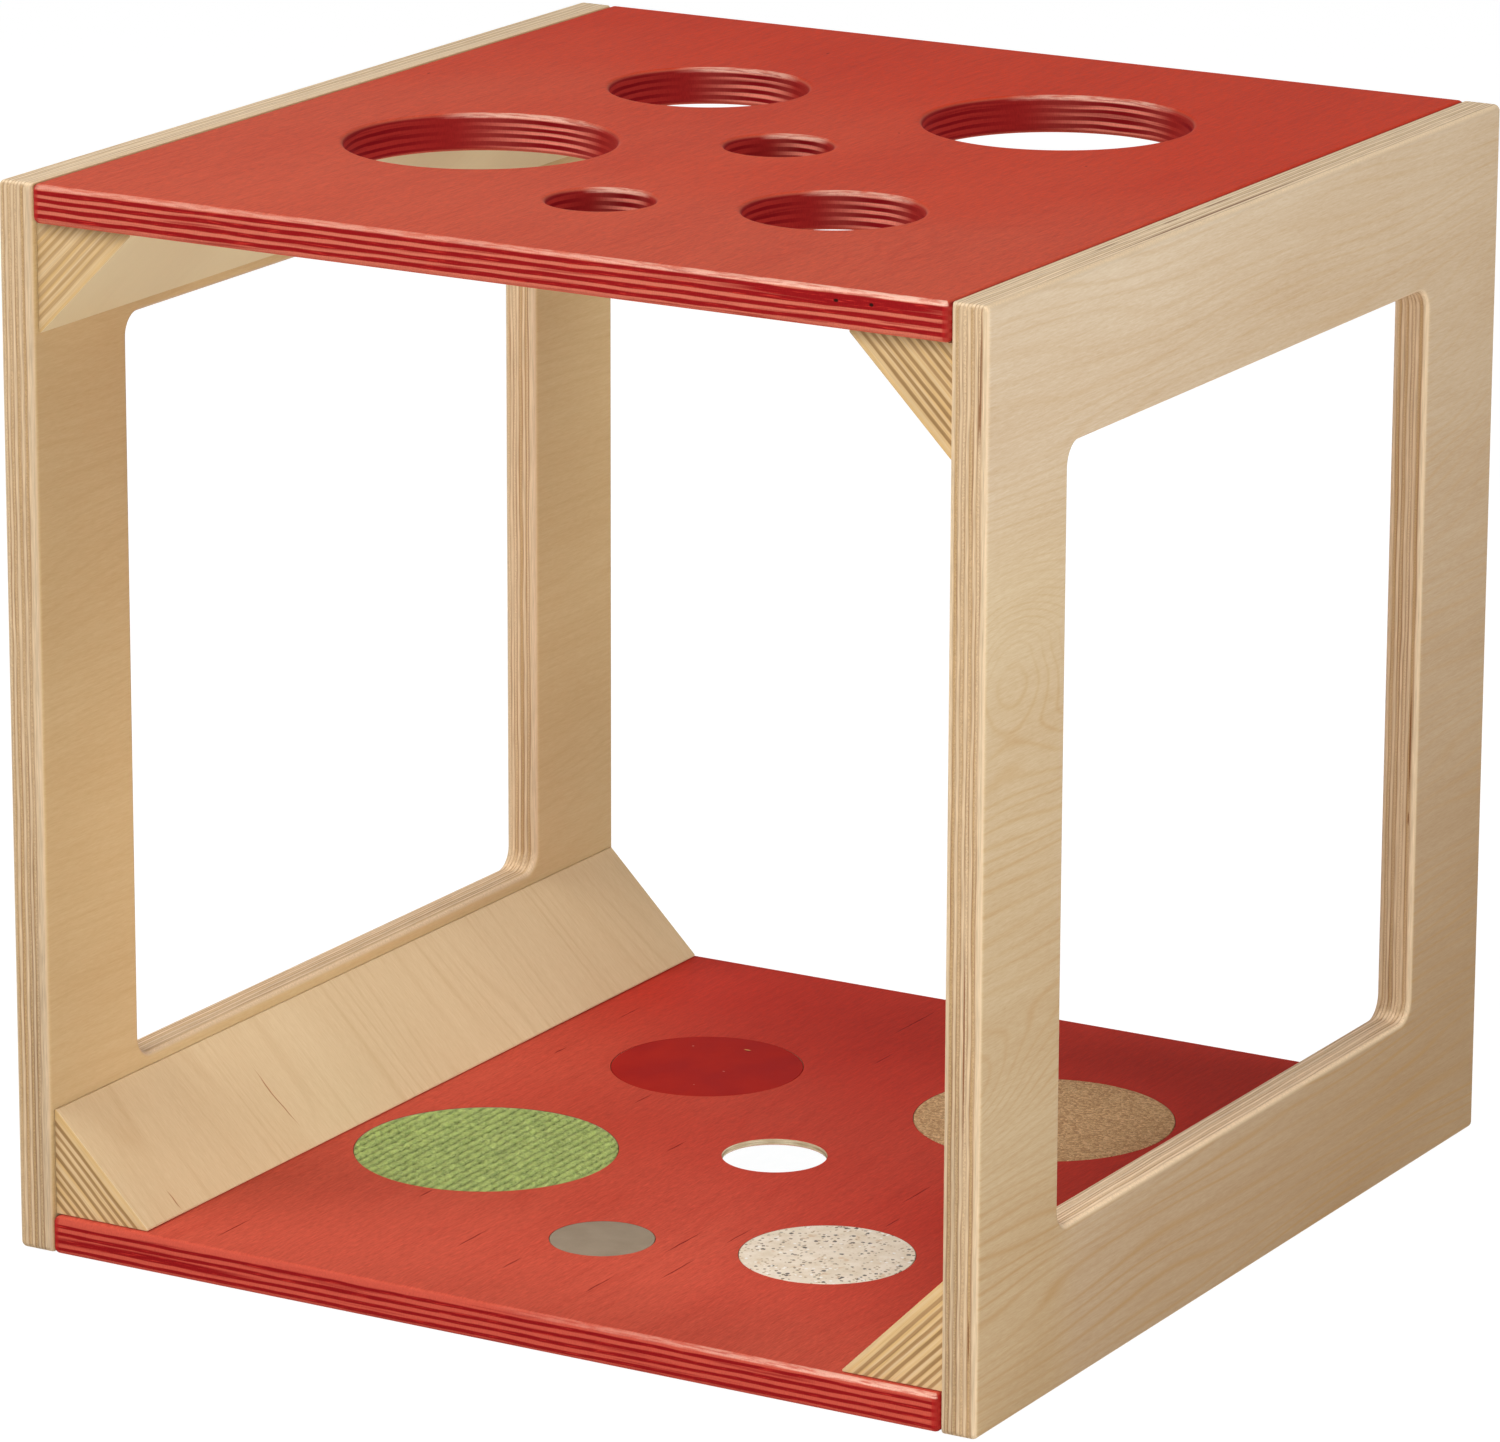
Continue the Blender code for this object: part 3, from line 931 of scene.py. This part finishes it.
# Where a part of the frames begins, and where it is full
IN_STILE_Y = (-150, -190)
IN_STILE_Z = (440, 360)
LEFT_SILL_Z = (100, 90)
TOP_EDGE_Z = (490, 495)
FRONT_EDGE_Y = (-240, -245)
WINDOW_BACK_Y = (160, 165)
WINDOW_BACK_END_Y = (190, 185)

# The look of each frame: how much further out than usual its plies lie, the figure of its face as
# hills over Z and Y, and voids in its edges.
LEFT_LOOK = SimpleNamespace(
    seed=60.0,
    ply_offset=1.0,
    hills=[((300, -320), (60, 90), 4), ((120, 260), (50, 60), -3)],
    front_voids=[],
    window_voids=[],
    top_voids=[],
)
RIGHT_LOOK = SimpleNamespace(
    seed=0.0,
    ply_offset=0.0,
    hills=[((340, -225), (34, 46), -7), ((155, -268), (26, 62), 8), ((385, 300), (60, 75), -7)],
    front_voids=[
        (246.8, 466, 0.5, 32), (246.2, 452, 0.4, 14), (242.2, 174, 0.5, 57), (246.0, 46, 0.4, 12),
    ],
    window_voids=[(246.4, 209, 0.55, 30), (246.4, 172, 0.4, 4)],
    top_voids=[
        (245.1, -30, 0.85, 106), (237.3, -16, 0.6, 17), (237.3, -60, 0.5, 10),
        (237.3, -121, 0.45, 13),
    ],
)


def birch_face(skin, tone, lines, outside):
    """The face veneers; the outer one is paler at the upper front and browner at the lower back, as
    painted light and shade.
    """
    to_upper = (skin.y * OUTER_FACE_LEAN + skin.z).line(*OUTER_FACE_FADE)
    outer = mix(to_upper, OUTER_FACE_SHADED_LOWER, OUTER_FACE_LIT_UPPER)
    in_stile = skin.y.smooth(*IN_STILE_Y) * skin.z.smooth(*IN_STILE_Z)
    outer = mix(in_stile, outer, outer.scaled(STILE_SHARE))
    pale = mix(outside, INNER_FACE, outer)
    darker = (tone * blend(outside, 0.7, 1.0)).line(1.3, -1.3)
    colour = mix(darker, pale, pale.scaled(FACE_DARK_SHARE))
    line_share = blend(outside, 0.12, skin.z.line(40, 420, 0.62, 0.22))
    return mix(lines * line_share, colour, GROWTH_LINE)


def birch_edge(skin, seed, depth, across, upward_sheen):
    """The plies of the edges, with a painted sheen where they face up, and 1 on their glue lines.
    """
    end_grain = across * square(skin.normal_y) + (1.0 - across) * square(skin.normal_z)
    ply_tint = skin.noise((1.75, 300, 300), 0, 0.5, seed + 37).line(0.3, 0.7, 0.1, 1.0)
    colour = mix(end_grain * ply_tint, BIRCH_EDGE_LIGHT, BIRCH_EDGE_DARK)
    colour = mix(upward_sheen * blend(end_grain, 0.6, 0.3), colour, BIRCH_TOP_SHEEN)
    wave = ((depth - FIRST_GLUE_LINE) * (FULL_TURN / GLUE_LINE_PERIOD)).math("COSINE")
    glue = wave.smooth(-0.1, 0.9) * (depth.smooth(1.6, 2.4) * depth.smooth(16.2, 15.4))
    long_y = skin.noise((1.5, 90, 3), 2, 0.6, seed + 19)
    long_z = skin.noise((1.5, 3, 90), 2, 0.6, seed + 29)
    strength = blend(square(skin.normal_z), long_z, long_y).smooth(0.35, 0.68)
    return mix(glue * (strength * 0.5 + 0.2), colour, BIRCH_GLUE_LINE), glue


def birch_gain(skin, strands, lines, outside, upward_sheen, level, edge):
    """How much brighter or darker than its colour the wood is, with painted sheen where it faces up
    and painted shade on the edges that face front.
    """
    # Painted shade on the edges that face front, less on the windows' back edges.
    front_painted_shade = skin.normal_y.smooth(-0.5, -0.9) * skin.y.line(100, 150, -0.225, -0.14)
    gain = strands * (edge * 0.19) + 1.0 + (upward_sheen * 0.125 + front_painted_shade)
    # The growth lines darken the outer face most at its foot.
    line_loss = lines * outside * skin.z.line(40, 260, -0.09, 0)
    gain = gain + line_loss * level.smooth(0.6, 0.97)
    # The inner face is darker below the window.
    return gain + (1.0 - outside) * skin.z.smooth(220, 110, -0.015, -0.10)


def birch_voids(skin, look, rough_y, rough_z):
    """1 in the hollows of the front, window and top edges."""
    upright = combine(skin.x, skin.z)
    on_top = skin.z.smooth(*TOP_EDGE_Z)
    in_front = marks(upright, look.front_voids) * skin.y.smooth(*FRONT_EDGE_Y)
    at_window = skin.y.smooth(*WINDOW_BACK_Y) * skin.y.smooth(*WINDOW_BACK_END_Y)
    in_window = marks(upright, look.window_voids) * at_window
    in_top = marks(combine(skin.x, skin.y), look.top_voids) * on_top
    rough = blend(on_top, rough_z, rough_y).smooth(0.28, 0.42)
    return (in_front | in_window | in_top) * rough


def birch_ply(skin, look):
    """Clear birch plywood with its grain along Y and its plies across X."""
    seed = look.seed
    place = combine(skin.z, skin.y, skin.x)
    tone, fine = grain_tone(place, seed)
    lines = growth_lines(place, BIRCH_LINE_SPACING, look.hills, seed, BIRCH_LEAST_LINES)
    from_inside = abs(skin.x) - FRAME_INNER
    outside = from_inside.smooth(8, 10)
    wobble = skin.noise((6, 40, 40), 2, 0.5, seed + 2).line(0.3, 0.7, -0.35, 0.35)
    depth = from_inside - look.ply_offset + wobble
    across = ply_share(depth, FIRST_PLY, LAST_PLY, PLY_PERIOD)
    level = abs(skin.normal_x)
    edge = level.smooth(0.97, 0.6)
    # The flats that face up get a painted sheen, the left window's sill least.
    on_left_sill = skin.x.smooth(1, -1) * skin.z.smooth(*LEFT_SILL_Z)
    upward_sheen = skin.normal_z.smooth(0.5, 0.9) * blend(on_left_sill, 1.0, 0.4)
    edge_colour, glue = birch_edge(skin, seed, depth, across, upward_sheen)
    colour = mix(edge, birch_face(skin, tone, lines, outside), edge_colour)
    # The arrises are paler from sanded wear and a painted highlight.
    arris = level.smooth(0.15, 0.4) * level.smooth(0.98, 0.8)
    colour = mix(arris * 0.45, colour, BIRCH_ARRIS_WEAR_AND_HIGHLIGHT)
    rough_y = skin.noise((0.6, 16, 0.7), 3, 0.65, seed + 9)
    rough_z = skin.noise((0.6, 0.7, 16), 3, 0.65, seed + 13)
    strands = blend(across, rough_z, rough_y).line(0.25, 0.75, -1, 1)
    colour = colour.brighten(birch_gain(skin, strands, lines, outside, upward_sheen, level, edge))
    hollow = birch_voids(skin, look, rough_y, rough_z)
    colour = mix(hollow * 0.85, colour, BIRCH_VOID)
    skin.bump(fine * 0.5 - (glue * edge * 0.5 | hollow), 0.0001)
    return skin.finish(colour, fine.line(0.2, 0.8, 0.45, 0.62), 0.05)


# Rails

RAIL_FACE = srgb(229, 206, 166)
RAIL_FACE_DARK = srgb(211, 183, 140)
RAIL_FACE_TOP_LIT = srgb(236, 222, 178)
RAIL_END_LIGHT = srgb(198, 170, 130)
RAIL_END_YELLOW = srgb(194, 160, 108)
RAIL_END_DARK = srgb(138, 106, 70)
RAIL_END_BROWN = srgb(158, 124, 84)
RAIL_CHECK = srgb(160, 92, 52)
RAIL_SEED = 20.0
CUBE_MIDDLE = 250.0
RAIL_INNER = 231.7
# Depth below the rail's square corner at which its two boards are glued, and the dark plies on
# both sides of there.
RAIL_GLUE_LINE = 18.0
RAIL_FIRST_PLY = 2.4
RAIL_LAST_PLY = 12.9
RAIL_LINE_SPACING = 12
RAIL_HILLS = [((493, 6), (16, 40), 2)]
# Keeps the figure of the left rails apart from that of the right ones.
LEFT_RAIL_OFFSET = 600
CONTACT_SHADOW_Z = (474, 482)
SLOPE_REACH = (110, 1)
# Checks in the lower left rail's slope: middle along Y and down the slope, half sizes.
SLOPE_CHECKS = [(-107, 5.6, 0.5, 19), (-217, 28.1, 0.45, 6.5)]
SLOPE_CHECK_BEND = 5


def rail_end(skin, depth, down, along, is_top, top_left):
    """The plies of the rails' ends: their colour and their strands."""
    plies = combine(depth, down, along)
    wobble = plies.noise((6, 30, 30), 2, 0.5, RAIL_SEED + 2).line(0.3, 0.7, -0.25, 0.25)
    from_glue = abs(depth - RAIL_GLUE_LINE + wobble)
    band = ply_share(from_glue, RAIL_FIRST_PLY, RAIL_LAST_PLY, PLY_PERIOD)
    tint_place = combine(depth, skin.x * 0.01, is_top)
    ply_tint = tint_place.noise((1.7, 1, 1), 0, 0.5, RAIL_SEED + 3).line(0.3, 0.7)
    dark = mix(ply_tint, RAIL_END_DARK, RAIL_END_BROWN)
    light = mix(ply_tint, RAIL_END_YELLOW, RAIL_END_LIGHT)
    strands = plies.noise((0.5, 22, 0.6), 3, 0.6, RAIL_SEED + 9).line(0.25, 0.75, -1, 1)
    return mix(band * blend(top_left, 0.95, 0.5), light, dark), strands


def rail_ply(skin):
    """Thick birch plywood, two boards glued face to face, its plies parallel to the slope."""
    across = RAIL_INNER - abs(skin.x)
    up = RAIL_INNER - abs(skin.z - CUBE_MIDDLE)
    depth = (across + up) * math.sqrt(0.5)
    down = (across - up) * math.sqrt(0.5)
    is_left = skin.x.smooth(1, -1)
    is_top = skin.z.smooth(CUBE_MIDDLE - 10, CUBE_MIDDLE + 10)
    along = is_left * LEFT_RAIL_OFFSET + skin.y
    place = combine(along, down, depth)
    tone, fine = grain_tone(place, RAIL_SEED)
    lines = growth_lines(place, RAIL_LINE_SPACING, RAIL_HILLS, RAIL_SEED)
    face_colour = mix(tone.line(1.3, -1.6), RAIL_FACE, RAIL_FACE_DARK)
    face_colour = mix(lines * 0.18, face_colour, GROWTH_LINE)
    # Painted light: the top rails' slopes are paler than the lower ones.
    face_colour = mix(is_top * 0.75, face_colour, RAIL_FACE_TOP_LIT)
    end_colour, strands = rail_end(skin, depth, down, along, is_top, is_top * is_left)
    end = square(skin.normal_y)
    colour = mix(end, face_colour, end_colour)
    # Painted shade darkens the top rails' ends, and a painted contact shadow darkens them more in
    # the corner below the top panel.
    contact_shadow = skin.z.smooth(*CONTACT_SHADOW_Z) * (end * -0.28)
    gain = strands * (end * 0.13) + 1.0 + (is_top * end * -0.08 + contact_shadow)
    # Painted shade: the middle of a lower rail's slope is a little darker than its ends.
    low_slope = 1.0 - (is_top | end)
    gain = gain + low_slope * hill(combine(skin.y, 0.0), (0, 0), SLOPE_REACH, -0.09)
    colour = colour.brighten(gain)
    bent = skin.noise((20, 14, 20), 2, 0.5, RAIL_SEED) * SLOPE_CHECK_BEND
    plane = combine(bent + (skin.y - SLOPE_CHECK_BEND / 2), down)
    on_slope = skin.normal_z.smooth(0.5, 0.6) * (is_left * (1.0 - is_top))
    crack = marks(plane, SLOPE_CHECKS) * on_slope
    colour = mix(crack * 0.75, colour, RAIL_CHECK)
    skin.bump(fine * 0.5 - crack, 0.0001)
    return skin.finish(colour, fine.line(0.2, 0.8, 0.5, 0.65), 0.05)


# Dowels, pockets and discs


def beech(skin):
    streaks = skin.noise((1.5, 1.5, 1.5), 3, 0.6, 0, 0.4)
    flecks = skin.noise((0.5, 2, 0.5), 1).smooth(0.6, 0.7)
    colour = mix(streaks.line(0.3, 0.7), srgb(200, 160, 112), srgb(222, 188, 142))
    colour = mix(flecks * 0.5, colour, srgb(168, 120, 78))
    skin.bump(streaks, 0.0001)
    return skin.finish(colour, streaks.line(0.2, 0.8, 0.5, 0.7), 0.2)


def raw_wall(skin):
    """Unstained plywood of a pocket's wall."""
    bands = skin.noise((12, 12, 0.9))
    speckle = skin.noise((0.5, 0.5, 0.5))
    colour = mix(bands.line(0.35, 0.65), srgb(158, 138, 108), srgb(192, 178, 150))
    colour = colour.brighten(speckle.line(0.3, 0.7, 0.9, 1.08))
    skin.bump(speckle, 0.0001)
    return skin.finish(colour, speckle.line(0.2, 0.8, 0.6, 0.8), 0.2)


def carpet_pile(skin):
    crest = (skin.x * (FULL_TURN / (RIB_PITCH * MILLIMETRES))).math("COSINE").line(-1, 0.2)
    hairs = skin.noise((0.35, 2.2, 0.35), 3, 0.7, 0, 1.2)
    cross_hairs = skin.noise((2.0, 0.35, 0.35), 3, 0.7, 7, 1.2)
    fuzz = hairs | cross_hairs
    patches = skin.noise((9, 9, 9))
    knots = skin.noise((3.2, 2.6, 3.2), 2, 0.6, 13, 0.5)
    # Painted shade darkens the valleys between the ribs.
    colour = mix(crest, srgb(68, 98, 34), srgb(160, 184, 94))
    colour = mix(knots.line(0.48, 0.3, 0, 0.9), colour, srgb(80, 112, 42))
    colour = mix(fuzz.line(0.45, 0.7), colour, srgb(206, 218, 144))
    colour = colour.brighten(patches.line(0.3, 0.7, 0.92, 1.2))
    skin.bump(fuzz, 0.0006)
    tint = srgb(210, 225, 160)
    sheen = {"Sheen Weight": 0.25, "Sheen Roughness": 0.6, "Sheen Tint": tint}
    feed_named(skin.shader, sheen)
    return skin.finish(colour, fuzz.line(0.2, 0.8, 0.85, 1.0), 0.1)


def carpet_strand(skin):
    tint = skin.noise((1.2, 1.2, 1.2))
    colour = mix(tint.line(0.3, 0.7), srgb(136, 170, 70), srgb(220, 230, 160))
    skin.shader.inputs["Sheen Weight"].default_value = 0.2
    return skin.finish(colour, tint.line(0.2, 0.8, 0.75, 0.95), 0.15)


CORK_GRAIN = 1.2
CORK_FLECK = 0.8


def cork(skin):
    bent = skin.noise((2, 2, 2), 2, 0.6)
    place = skin.place.scaled((1, 1, 1), combine(bent, bent, bent))
    grain_shade = place.cells(CORK_GRAIN)[1].split()[0]
    colour = mix(grain_shade, srgb(184, 140, 95), srgb(240, 205, 155))
    gaps = place.cells(CORK_GRAIN, "DISTANCE_TO_EDGE")[0]
    colour = mix(gaps.line(0.10, 0.0, 0.0, 0.5), colour, srgb(150, 106, 68))
    small, small_tint = place.cells(CORK_FLECK, "F1", 4)
    dark_pick, pale_pick = small_tint.split()[1:]
    fleck = dark_pick.smooth(0.76, 0.86) * small.line(0.45, 0.25)
    colour = mix(fleck * 0.7, colour, srgb(108, 70, 44))
    pale = pale_pick.smooth(0.85, 0.92) * small.line(0.5, 0.3)
    colour = mix(pale * 0.5, colour, srgb(240, 214, 176))
    skin.bump(gaps * 2.0 + grain_shade * 0.5, 0.0003)
    return skin.finish(colour, grain_shade.line(0, 1, 0.75, 0.92), 0.15)


# A splinter with its shadow, and pale specks, in the dark red disc.
SPLINTER_SHADOW = [(-81.0, 125.6, 1.8, 0.9)]
SPLINTER = [(-82.0, 127.0, 2.2, 0.7)]
DISC_SPECKS = [(-108, 119, 0.7, 0.7), (-75, 92, 0.8, 0.6), (-77, 67, 0.5, 0.5)]


def dark_red_rubber(skin):
    blotch = skin.noise((22, 30, 22), 3)
    fine = skin.noise((0.6, 0.6, 0.6))
    colour = mix(blotch.line(0.35, 0.7), srgb(162, 29, 25), srgb(176, 42, 34))
    colour = colour.brighten(fine.line(0.3, 0.7, 0.96, 1.04))
    plane = combine(skin.x, skin.y)
    splinter = marks(plane, SPLINTER)
    colour = mix(marks(plane, SPLINTER_SHADOW) * 0.7, colour, srgb(80, 14, 12))
    colour = mix(splinter * 0.85, colour, srgb(226, 190, 110))
    colour = mix(marks(plane, DISC_SPECKS) * 0.6, colour, srgb(214, 160, 140))
    skin.bump(fine * 0.3 + splinter, 0.0002)
    return skin.finish(colour, blotch.line(0.3, 0.7, 0.5, 0.62), 0.015)


# Specks of the stone: cell size, seed, rarity, reach within the cell and colour.
STONE_SPECKS = [
    (3.8, 1, 0.72, 0.24, srgb(84, 76, 64)),
    (2.7, 5, 0.70, 0.27, srgb(134, 120, 98)),
    (2.0, 9, 0.66, 0.30, srgb(186, 166, 134)),
    (3.0, 14, 0.78, 0.22, srgb(252, 250, 244)),
]


def speckled_stone(skin):
    cloud = skin.noise((9, 9, 9), 3, 0.6)
    colour = mix(cloud.line(0.35, 0.65), srgb(227, 214, 190), srgb(243, 234, 217))
    ochre = skin.noise((5, 5, 5), 2, 0.5, 9).smooth(0.6, 0.72)
    colour = mix(ochre * 0.5, colour, srgb(206, 170, 120))
    bent = skin.noise((1.1, 1.1, 1.1), 2, 0.6)
    place = skin.place.scaled((1, 1, 1), combine(bent, bent * -1.4))
    for size, seed, rarity, reach, speck in STONE_SPECKS:
        distance, tint = place.cells(size, "F1", seed)
        pick = tint.split()[0].smooth(rarity, rarity + 0.04)
        colour = mix(pick * distance.line(reach + 0.08, reach), colour, speck)
    fine = skin.noise((0.5, 0.5, 0.5))
    colour = colour.brighten(fine.line(0.3, 0.7, 0.95, 1.04))
    skin.bump(fine, 0.00012)
    return skin.finish(colour, fine.line(0.2, 0.8, 0.45, 0.65), 0.3)


def grey_rubber(skin):
    fine = skin.noise((0.7, 0.7, 0.7), 3, 0.6)
    cloud = skin.noise((14, 14, 14))
    colour = mix(cloud.line(0.35, 0.65), srgb(146, 133, 114), srgb(154, 141, 122))
    colour = colour.brighten(fine.line(0.3, 0.7, 0.96, 1.04))
    skin.bump(fine, 0.0001)
    return skin.finish(colour, fine.line(0.2, 0.8, 0.62, 0.78), 0.05)


def mirror_glass(skin):
    haze = skin.noise((6, 11, 6), 3, 0.6)
    colour = mix(haze.line(0.3, 0.7), srgb(252, 253, 253), srgb(255, 255, 255))
    return skin.finish(colour, haze.line(0.3, 0.7, 0.015, 0.05), 0.5, metallic=1.0)


# Camera, light and stage

CAMERA_LOCATION = (1.83333943, -3.18543749, 1.25185271)
CAMERA_RIGHT = (0.86531524, 0.50121699, 0.00332625)
CAMERA_UP = (-0.13746033, 0.23092320, 0.96321292)
CAMERA_BACK = (0.48201057, -0.83394005, 0.26871882)
CAMERA_LENS = 197.88
CAMERA_SENSOR = 36.0
LIGHT_TARGET = (0, 0, 0.25)
# Location, size and power of each light
LIGHTS = {
    "key_light": ((-1.5, -1.6, 2.4), 2.4, 85.0),
    "front_light": ((1.8, -2.4, 1.2), 1.2, 10.5),
    "low_front_light": ((0.9, -2.2, 0.3), 1.0, 33.5),
    "right_light": ((3.4, 0.4, 1.6), 1.6, 67.0),
    "back_light": ((1.4, 2.6, 1.2), 1.4, 10.0),
}
WHITE = (1, 1, 1, 1)
WORLD_STRENGTH = 0.01
FLOOR_HALF_SIZE = 12.0
FLOOR_COLOUR = (0.65, 0.65, 0.65, 1)
FLOOR_SHOWN_COLOUR = (0.16, 0.16, 0.16, 1)
FLOOR_GLOW = 0.96
FLOOR_Z = -0.0005


def make_camera():
    data = bpy.data.cameras.new("camera")
    data.lens = CAMERA_LENS
    data.sensor_width = CAMERA_SENSOR
    data.sensor_fit = "HORIZONTAL"
    data.clip_start = 0.01
    data.clip_end = 100.0
    camera = bpy.data.objects.new("camera", data)
    turn = Matrix((CAMERA_RIGHT, CAMERA_UP, CAMERA_BACK)).transposed().to_4x4()
    camera.matrix_world = Matrix.Translation(CAMERA_LOCATION) @ turn
    bpy.context.scene.collection.objects.link(camera)
    bpy.context.scene.camera = camera


def make_light(name, location, size, power):
    data = bpy.data.lights.new(name, "AREA")
    data.shape = "DISK"
    data.size = size
    data.energy = power
    light = bpy.data.objects.new(name, data)
    light.location = location
    light.visible_camera = False
    direction = Vector(LIGHT_TARGET) - Vector(location)
    light.rotation_euler = direction.to_track_quat("-Z", "Y").to_euler()
    bpy.context.scene.collection.objects.link(light)


def show(tree, lighting, shown, target):
    """The first shader lights the scene. The second is what the camera, gloss and glass see."""
    path = add_node(tree, "LightPath").outputs
    direct = Value(path["Is Camera Ray"]) | Value(path["Is Glossy Ray"])
    seen = direct | Value(path["Is Transmission Ray"])
    surface = output(tree, "MixShader", seen, lighting, shown)
    feed(tree.nodes[target].inputs["Surface"], surface)


def make_world():
    world = bpy.data.worlds.new("world")
    bpy.context.scene.world = world
    world.use_nodes = True
    tree = world.node_tree
    tree.nodes.remove(tree.nodes["Background"])
    lighting = output(tree, "Background", WHITE, WORLD_STRENGTH)
    backdrop = output(tree, "Background", WHITE, 1.0)
    show(tree, lighting, backdrop, "World Output")


def make_floor():
    """A plain pale floor that looks white and still shows the object's shadow."""
    shape = bmesh.new()
    bmesh.ops.create_grid(shape, x_segments=1, y_segments=1, size=FLOOR_HALF_SIZE)
    bmesh.ops.translate(shape, verts=shape.verts, vec=(0, 0, FLOOR_Z))
    floor = link_piece(finish_mesh(shape, "studio_floor"))
    material = bpy.data.materials.new("studio_floor")
    material.use_nodes = True
    tree = material.node_tree
    tree.nodes.remove(tree.nodes["Principled BSDF"])
    matte = output(tree, "BsdfDiffuse", FLOOR_COLOUR)
    pale = output(tree, "BsdfDiffuse", FLOOR_SHOWN_COLOUR)
    glow = output(tree, "Emission", WHITE, FLOOR_GLOW)
    show(tree, matte, output(tree, "AddShader", pale, glow), "Material Output")
    floor.data.materials.append(material)


# Putting it together


def stand_for(piece, node, slot, *materials):
    """The piece takes the place of one node, in its finish, and rides on the body."""
    piece.data.materials.clear()
    for material in materials:
        piece.data.materials.append(material)
    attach(piece, "root")
    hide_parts(node)


def dress_dowels():
    material = beech(Skin("beech_dowel_wood"))
    for name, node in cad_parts.items():
        if "_dowel_" in name:
            node.data.materials.clear()
            node.data.materials.append(material)


def main():
    make_camera()
    make_world()
    make_floor()
    for name, (location, size, power) in LIGHTS.items():
        make_light(name, location, size, power)
    bpy.context.scene.view_settings.view_transform = "Standard"

    for side, look in {"left": LEFT_LOOK, "right": RIGHT_LOOK}.items():
        wood = birch_ply(Skin(side + "_frame_birch"), look)
        stand_for(build_side_frame(side), side + "_side_frame", "birch_plywood", wood)
    top_wood = red_ply(Skin("top_red_ply"), TOP_LOOK)
    top = build_panel("top_panel", disc_rims())
    stand_for(top, "top_panel", "red_stained_plywood", top_wood)
    floor_wood = red_ply(Skin("floor_red_ply"), FLOOR_LOOK)
    bottom = build_bottom_panel()
    stand_for(bottom, "bottom_panel", "red_stained_plywood", floor_wood)
    line_pockets(bottom, raw_wall(Skin("pocket_wall_birch")))
    rail_wood = rail_ply(Skin("rail_birch"))
    for node in RAIL_NODES:
        stand_for(build_rail(node), node, "rail_plywood", rail_wood)

    carpet = build_carpet()
    pile = carpet_pile(Skin("carpet_pile"))
    stand_for(carpet, "green_carpet_disc", "green_carpet", pile)
    fibres = build_carpet_fibres()
    strand = carpet_strand(Skin("carpet_strand"))
    stand_for(fibres, "green_carpet_disc", "green_carpet", strand)
    plain_discs = {
        "cork": cork,
        "dark_red_rubber": dark_red_rubber,
        "speckled_stone": speckled_stone,
        "mirror": mirror_glass,
        "grey_rubber": grey_rubber,
    }
    for slot, make_material in plain_discs.items():
        node = slot + "_disc"
        stand_for(build_disc(node), node, slot, make_material(Skin(slot + "_surface")))
    dress_dowels()


main()
